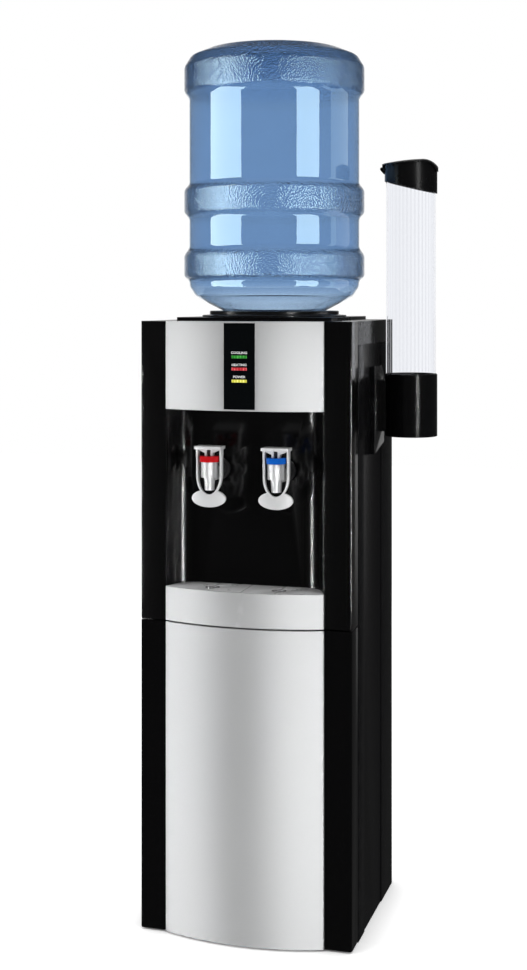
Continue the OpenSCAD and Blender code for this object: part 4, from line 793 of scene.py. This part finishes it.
bottle_plastic = finish("bottle_plastic", (0.375, 0.52, 0.715), 0.0, tone=0.05, cloud=9.0, unevenness=0.0,
                        dust=0.0, Transmission_Weight=1.0, IOR=1.585, Specular_Tint=(0.68, 0.85, 1.0, 1.0))
tree = bottle_plastic.node_tree
shader = tree.nodes["Principled BSDF"]
place = add(tree, "TexCoord").outputs["Object"]
height = add(tree, "SeparateXYZ", place).outputs["Z"]
# The share of painted light, greatest at the seat.
painted_light_share = ramp(tree, height, SEAT_TOP + BAND_EDGE, SEAT_TOP + SHOULDER_LIGHT_SHARE * BOTTLE_HEIGHT, 1.0, 0.0)
# The share of painted shade, greatest over the dome.
thick = ramp(tree, height, *(SEAT_TOP + s * BOTTLE_HEIGHT for s in DOME_SHADE_SHARES))
blue_with_painted_shade = blend_colours(tree, thick, shader.inputs["Base Color"].links[0].from_socket, (*DOME_PAINTED_SHADE, 1))
feed(tree, shader.inputs["Base Color"], blend_colours(tree, painted_light_share, blue_with_painted_shade, (*SHOULDER_PAINTED_LIGHT, 1)))
pebbled = 0.0
for low, high in BAND_SHARES:
    low_z, high_z = (SEAT_TOP + s * BOTTLE_HEIGHT for s in (low, high))
    inside = calc(tree, "MULTIPLY", ramp(tree, height, low_z - BAND_EDGE, low_z + BAND_EDGE),
                  ramp(tree, height, high_z - BAND_EDGE, high_z + BAND_EDGE, 1.0, 0.0))
    pebbled = calc(tree, "ADD", pebbled, inside)
cells = add(tree, "TexVoronoi", place, feature="F1")
feed(tree, cells.inputs["Scale"], PEBBLE_SIZE)
pebbles = cells.outputs["Distance"]
bump = add(tree, "Bump")
feed(tree, bump.inputs["Strength"], 1.0)
feed(tree, bump.inputs["Distance"], PEBBLE_DEPTH)
feed(tree, bump.inputs["Height"], calc(tree, "MULTIPLY", pebbles, pebbled))
feed(tree, shader.inputs["Normal"], bump.outputs[0])
feed(tree, shader.inputs["Roughness"],
     calc(tree, "ADD", calc(tree, "MULTIPLY", pebbled, PEBBLE_BLUR), SMOOTH_BLUR))

bottle_skin = revolve("bottle_skin", skin_outline + lining[::-1], BOTTLE_AXIS, BOTTLE_SIDES, bottle_plastic)
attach(bottle_skin, "bottle")
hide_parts("bottle")
BY_BOTTLE.objects.link(bottle_skin)

# Cup holder
# A black bracket and housing on the cabinet's side carry a clear fluted tube. A slanted cap
# ring closes its top, with a curved lid hinged on it, and a gripper ring holds the cups.
holder_black = finish("holder_black", (0.0026, 0.0026, 0.003), 0.13, tone=0.08, cloud=12.0, unevenness=0.01,
                      rubbed=(0.06, 0.06, 0.063), rub=0.3, dust=0.03, Specular_IOR_Level=0.45)
dress("cup_bracket cup_housing", holder_black, edge=0.0008, segments=3)
dress("cup_lid", black_moulding, edge=0.0005)
dress("cup_cap_ring", black_moulding, edge=0.0006)
dress("cup_gripper", white_plastic, edge=0.0003)
shown_in(BY_BLACK, "cup_bracket cup_housing cup_lid cup_cap_ring")

FLUTES = 38
FLUTE_DEPTH = 0.0006
TUBE_WALL = 0.0018
STEPS_PER_FLUTE = 10
# Painted shade: the tube's flute hollows are greyer than its ridges, in place of the darker refraction in
# them.
FLUTE_SHADE_BAND = (-1.0, 0.2)
LEVEL_WITHIN = 0.0001
RIDGE_CLEAR = (0.95, 0.958, 0.98)
FLUTE_PAINTED_SHADE = (0.87, 0.88, 0.905)
tube_low, tube_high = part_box("cup_tube")
TUBE_RADIUS = (tube_high.x - tube_low.x) / 2
TUBE_AXIS = ((tube_low.x + tube_high.x) / 2, (tube_low.y + tube_high.y) / 2)

clear_tube = finish("clear_tube", RIDGE_CLEAR, 0.02, tone=0.0, dust=0.0, Transmission_Weight=1.0, IOR=1.03)
tree = clear_tube.node_tree
shader = tree.nodes["Principled BSDF"]
from_axis = add(tree, "VectorMath", add(tree, "TexCoord").outputs["Object"], (*TUBE_AXIS, 0),
                operation="SUBTRACT").outputs[0]
place = add(tree, "SeparateXYZ", from_axis).outputs
turn = calc(tree, "MULTIPLY", calc(tree, "ARCTAN2", place["Y"], place["X"]), float(FLUTES))
flute_shade = ramp(tree, calc(tree, "COSINE", turn), *FLUTE_SHADE_BAND, 1.0, 0.0)
feed(tree, shader.inputs["Base Color"], blend_colours(tree, flute_shade, (*RIDGE_CLEAR, 1), (*FLUTE_PAINTED_SHADE, 1)))


def fluted_tube():
    """A tube with rounded flutes outside and a plain bore."""
    mesh = bmesh.new()
    around = FLUTES * STEPS_PER_FLUTE
    rows = []
    for bore in (False, True):
        for z in (tube_low.z, tube_high.z):
            row = []
            for i in range(around):
                a = 2 * math.pi * i / around
                sunk = TUBE_WALL if bore else FLUTE_DEPTH * (1 - math.cos(FLUTES * a)) / 2
                r = TUBE_RADIUS - sunk
                place = (TUBE_AXIS[0] + r * math.cos(a), TUBE_AXIS[1] + r * math.sin(a), z)
                row.append(mesh.verts.new(place))
            rows.append(row)
    for a, b in ((0, 1), (1, 3), (3, 2), (2, 0)):
        for i in range(around):
            j = (i + 1) % around
            face = mesh.faces.new((rows[a][i], rows[a][j], rows[b][j], rows[b][i]))
            face.smooth = (a, b) in ((0, 1), (3, 2))
    for edge in mesh.edges:
        edge.smooth = abs(edge.verts[0].co.z - edge.verts[1].co.z) > LEVEL_WITHIN
    bmesh.ops.recalc_face_normals(mesh, faces=mesh.faces)
    data = bpy.data.meshes.new("cup_tube_fluted")
    mesh.to_mesh(data)
    mesh.free()
    data.materials.append(clear_tube)
    made = bpy.data.objects.new("cup_tube_fluted", data)
    bpy.context.scene.collection.objects.link(made)
    return made


tube = fluted_tube()
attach(tube, "cabinet")
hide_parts("cup_tube")

# Condenser
# One steel tube to and fro behind the cabinet, welded to upright wires before and behind it
# and enamelled black, on four plastic clips.
condenser_paint = finish("condenser_paint", (0.012, 0.012, 0.013), 0.38, tone=0.15, cloud=60.0, dust=0.16)
dress("condenser_tube", condenser_paint, edge=0)
dress("condenser_wires", condenser_paint, edge=0)

# Switches, drain and cord inlet
# A black plate with a red rocker for the heater and a green one for the compressor, a capped
# white drain spigot, and a grommet for the mains cord, all let into the rear sheet.
red_rocker = finish("red_rocker", (0.50, 0.012, 0.012), 0.22, tone=0.08, cloud=80.0, dust=0.0)
green_rocker = finish("green_rocker", (0.01, 0.30, 0.045), 0.22, tone=0.08, cloud=80.0, dust=0.0)
dress("switch_plate", black_moulding)
dress("hot_switch", red_rocker, edge=0.0005)
dress("cold_switch", green_rocker, edge=0.0005)
dress("drain_outlet", white_plastic, edge=0.0005)
dress("cord_inlet", black_rubber, edge=0.0005)
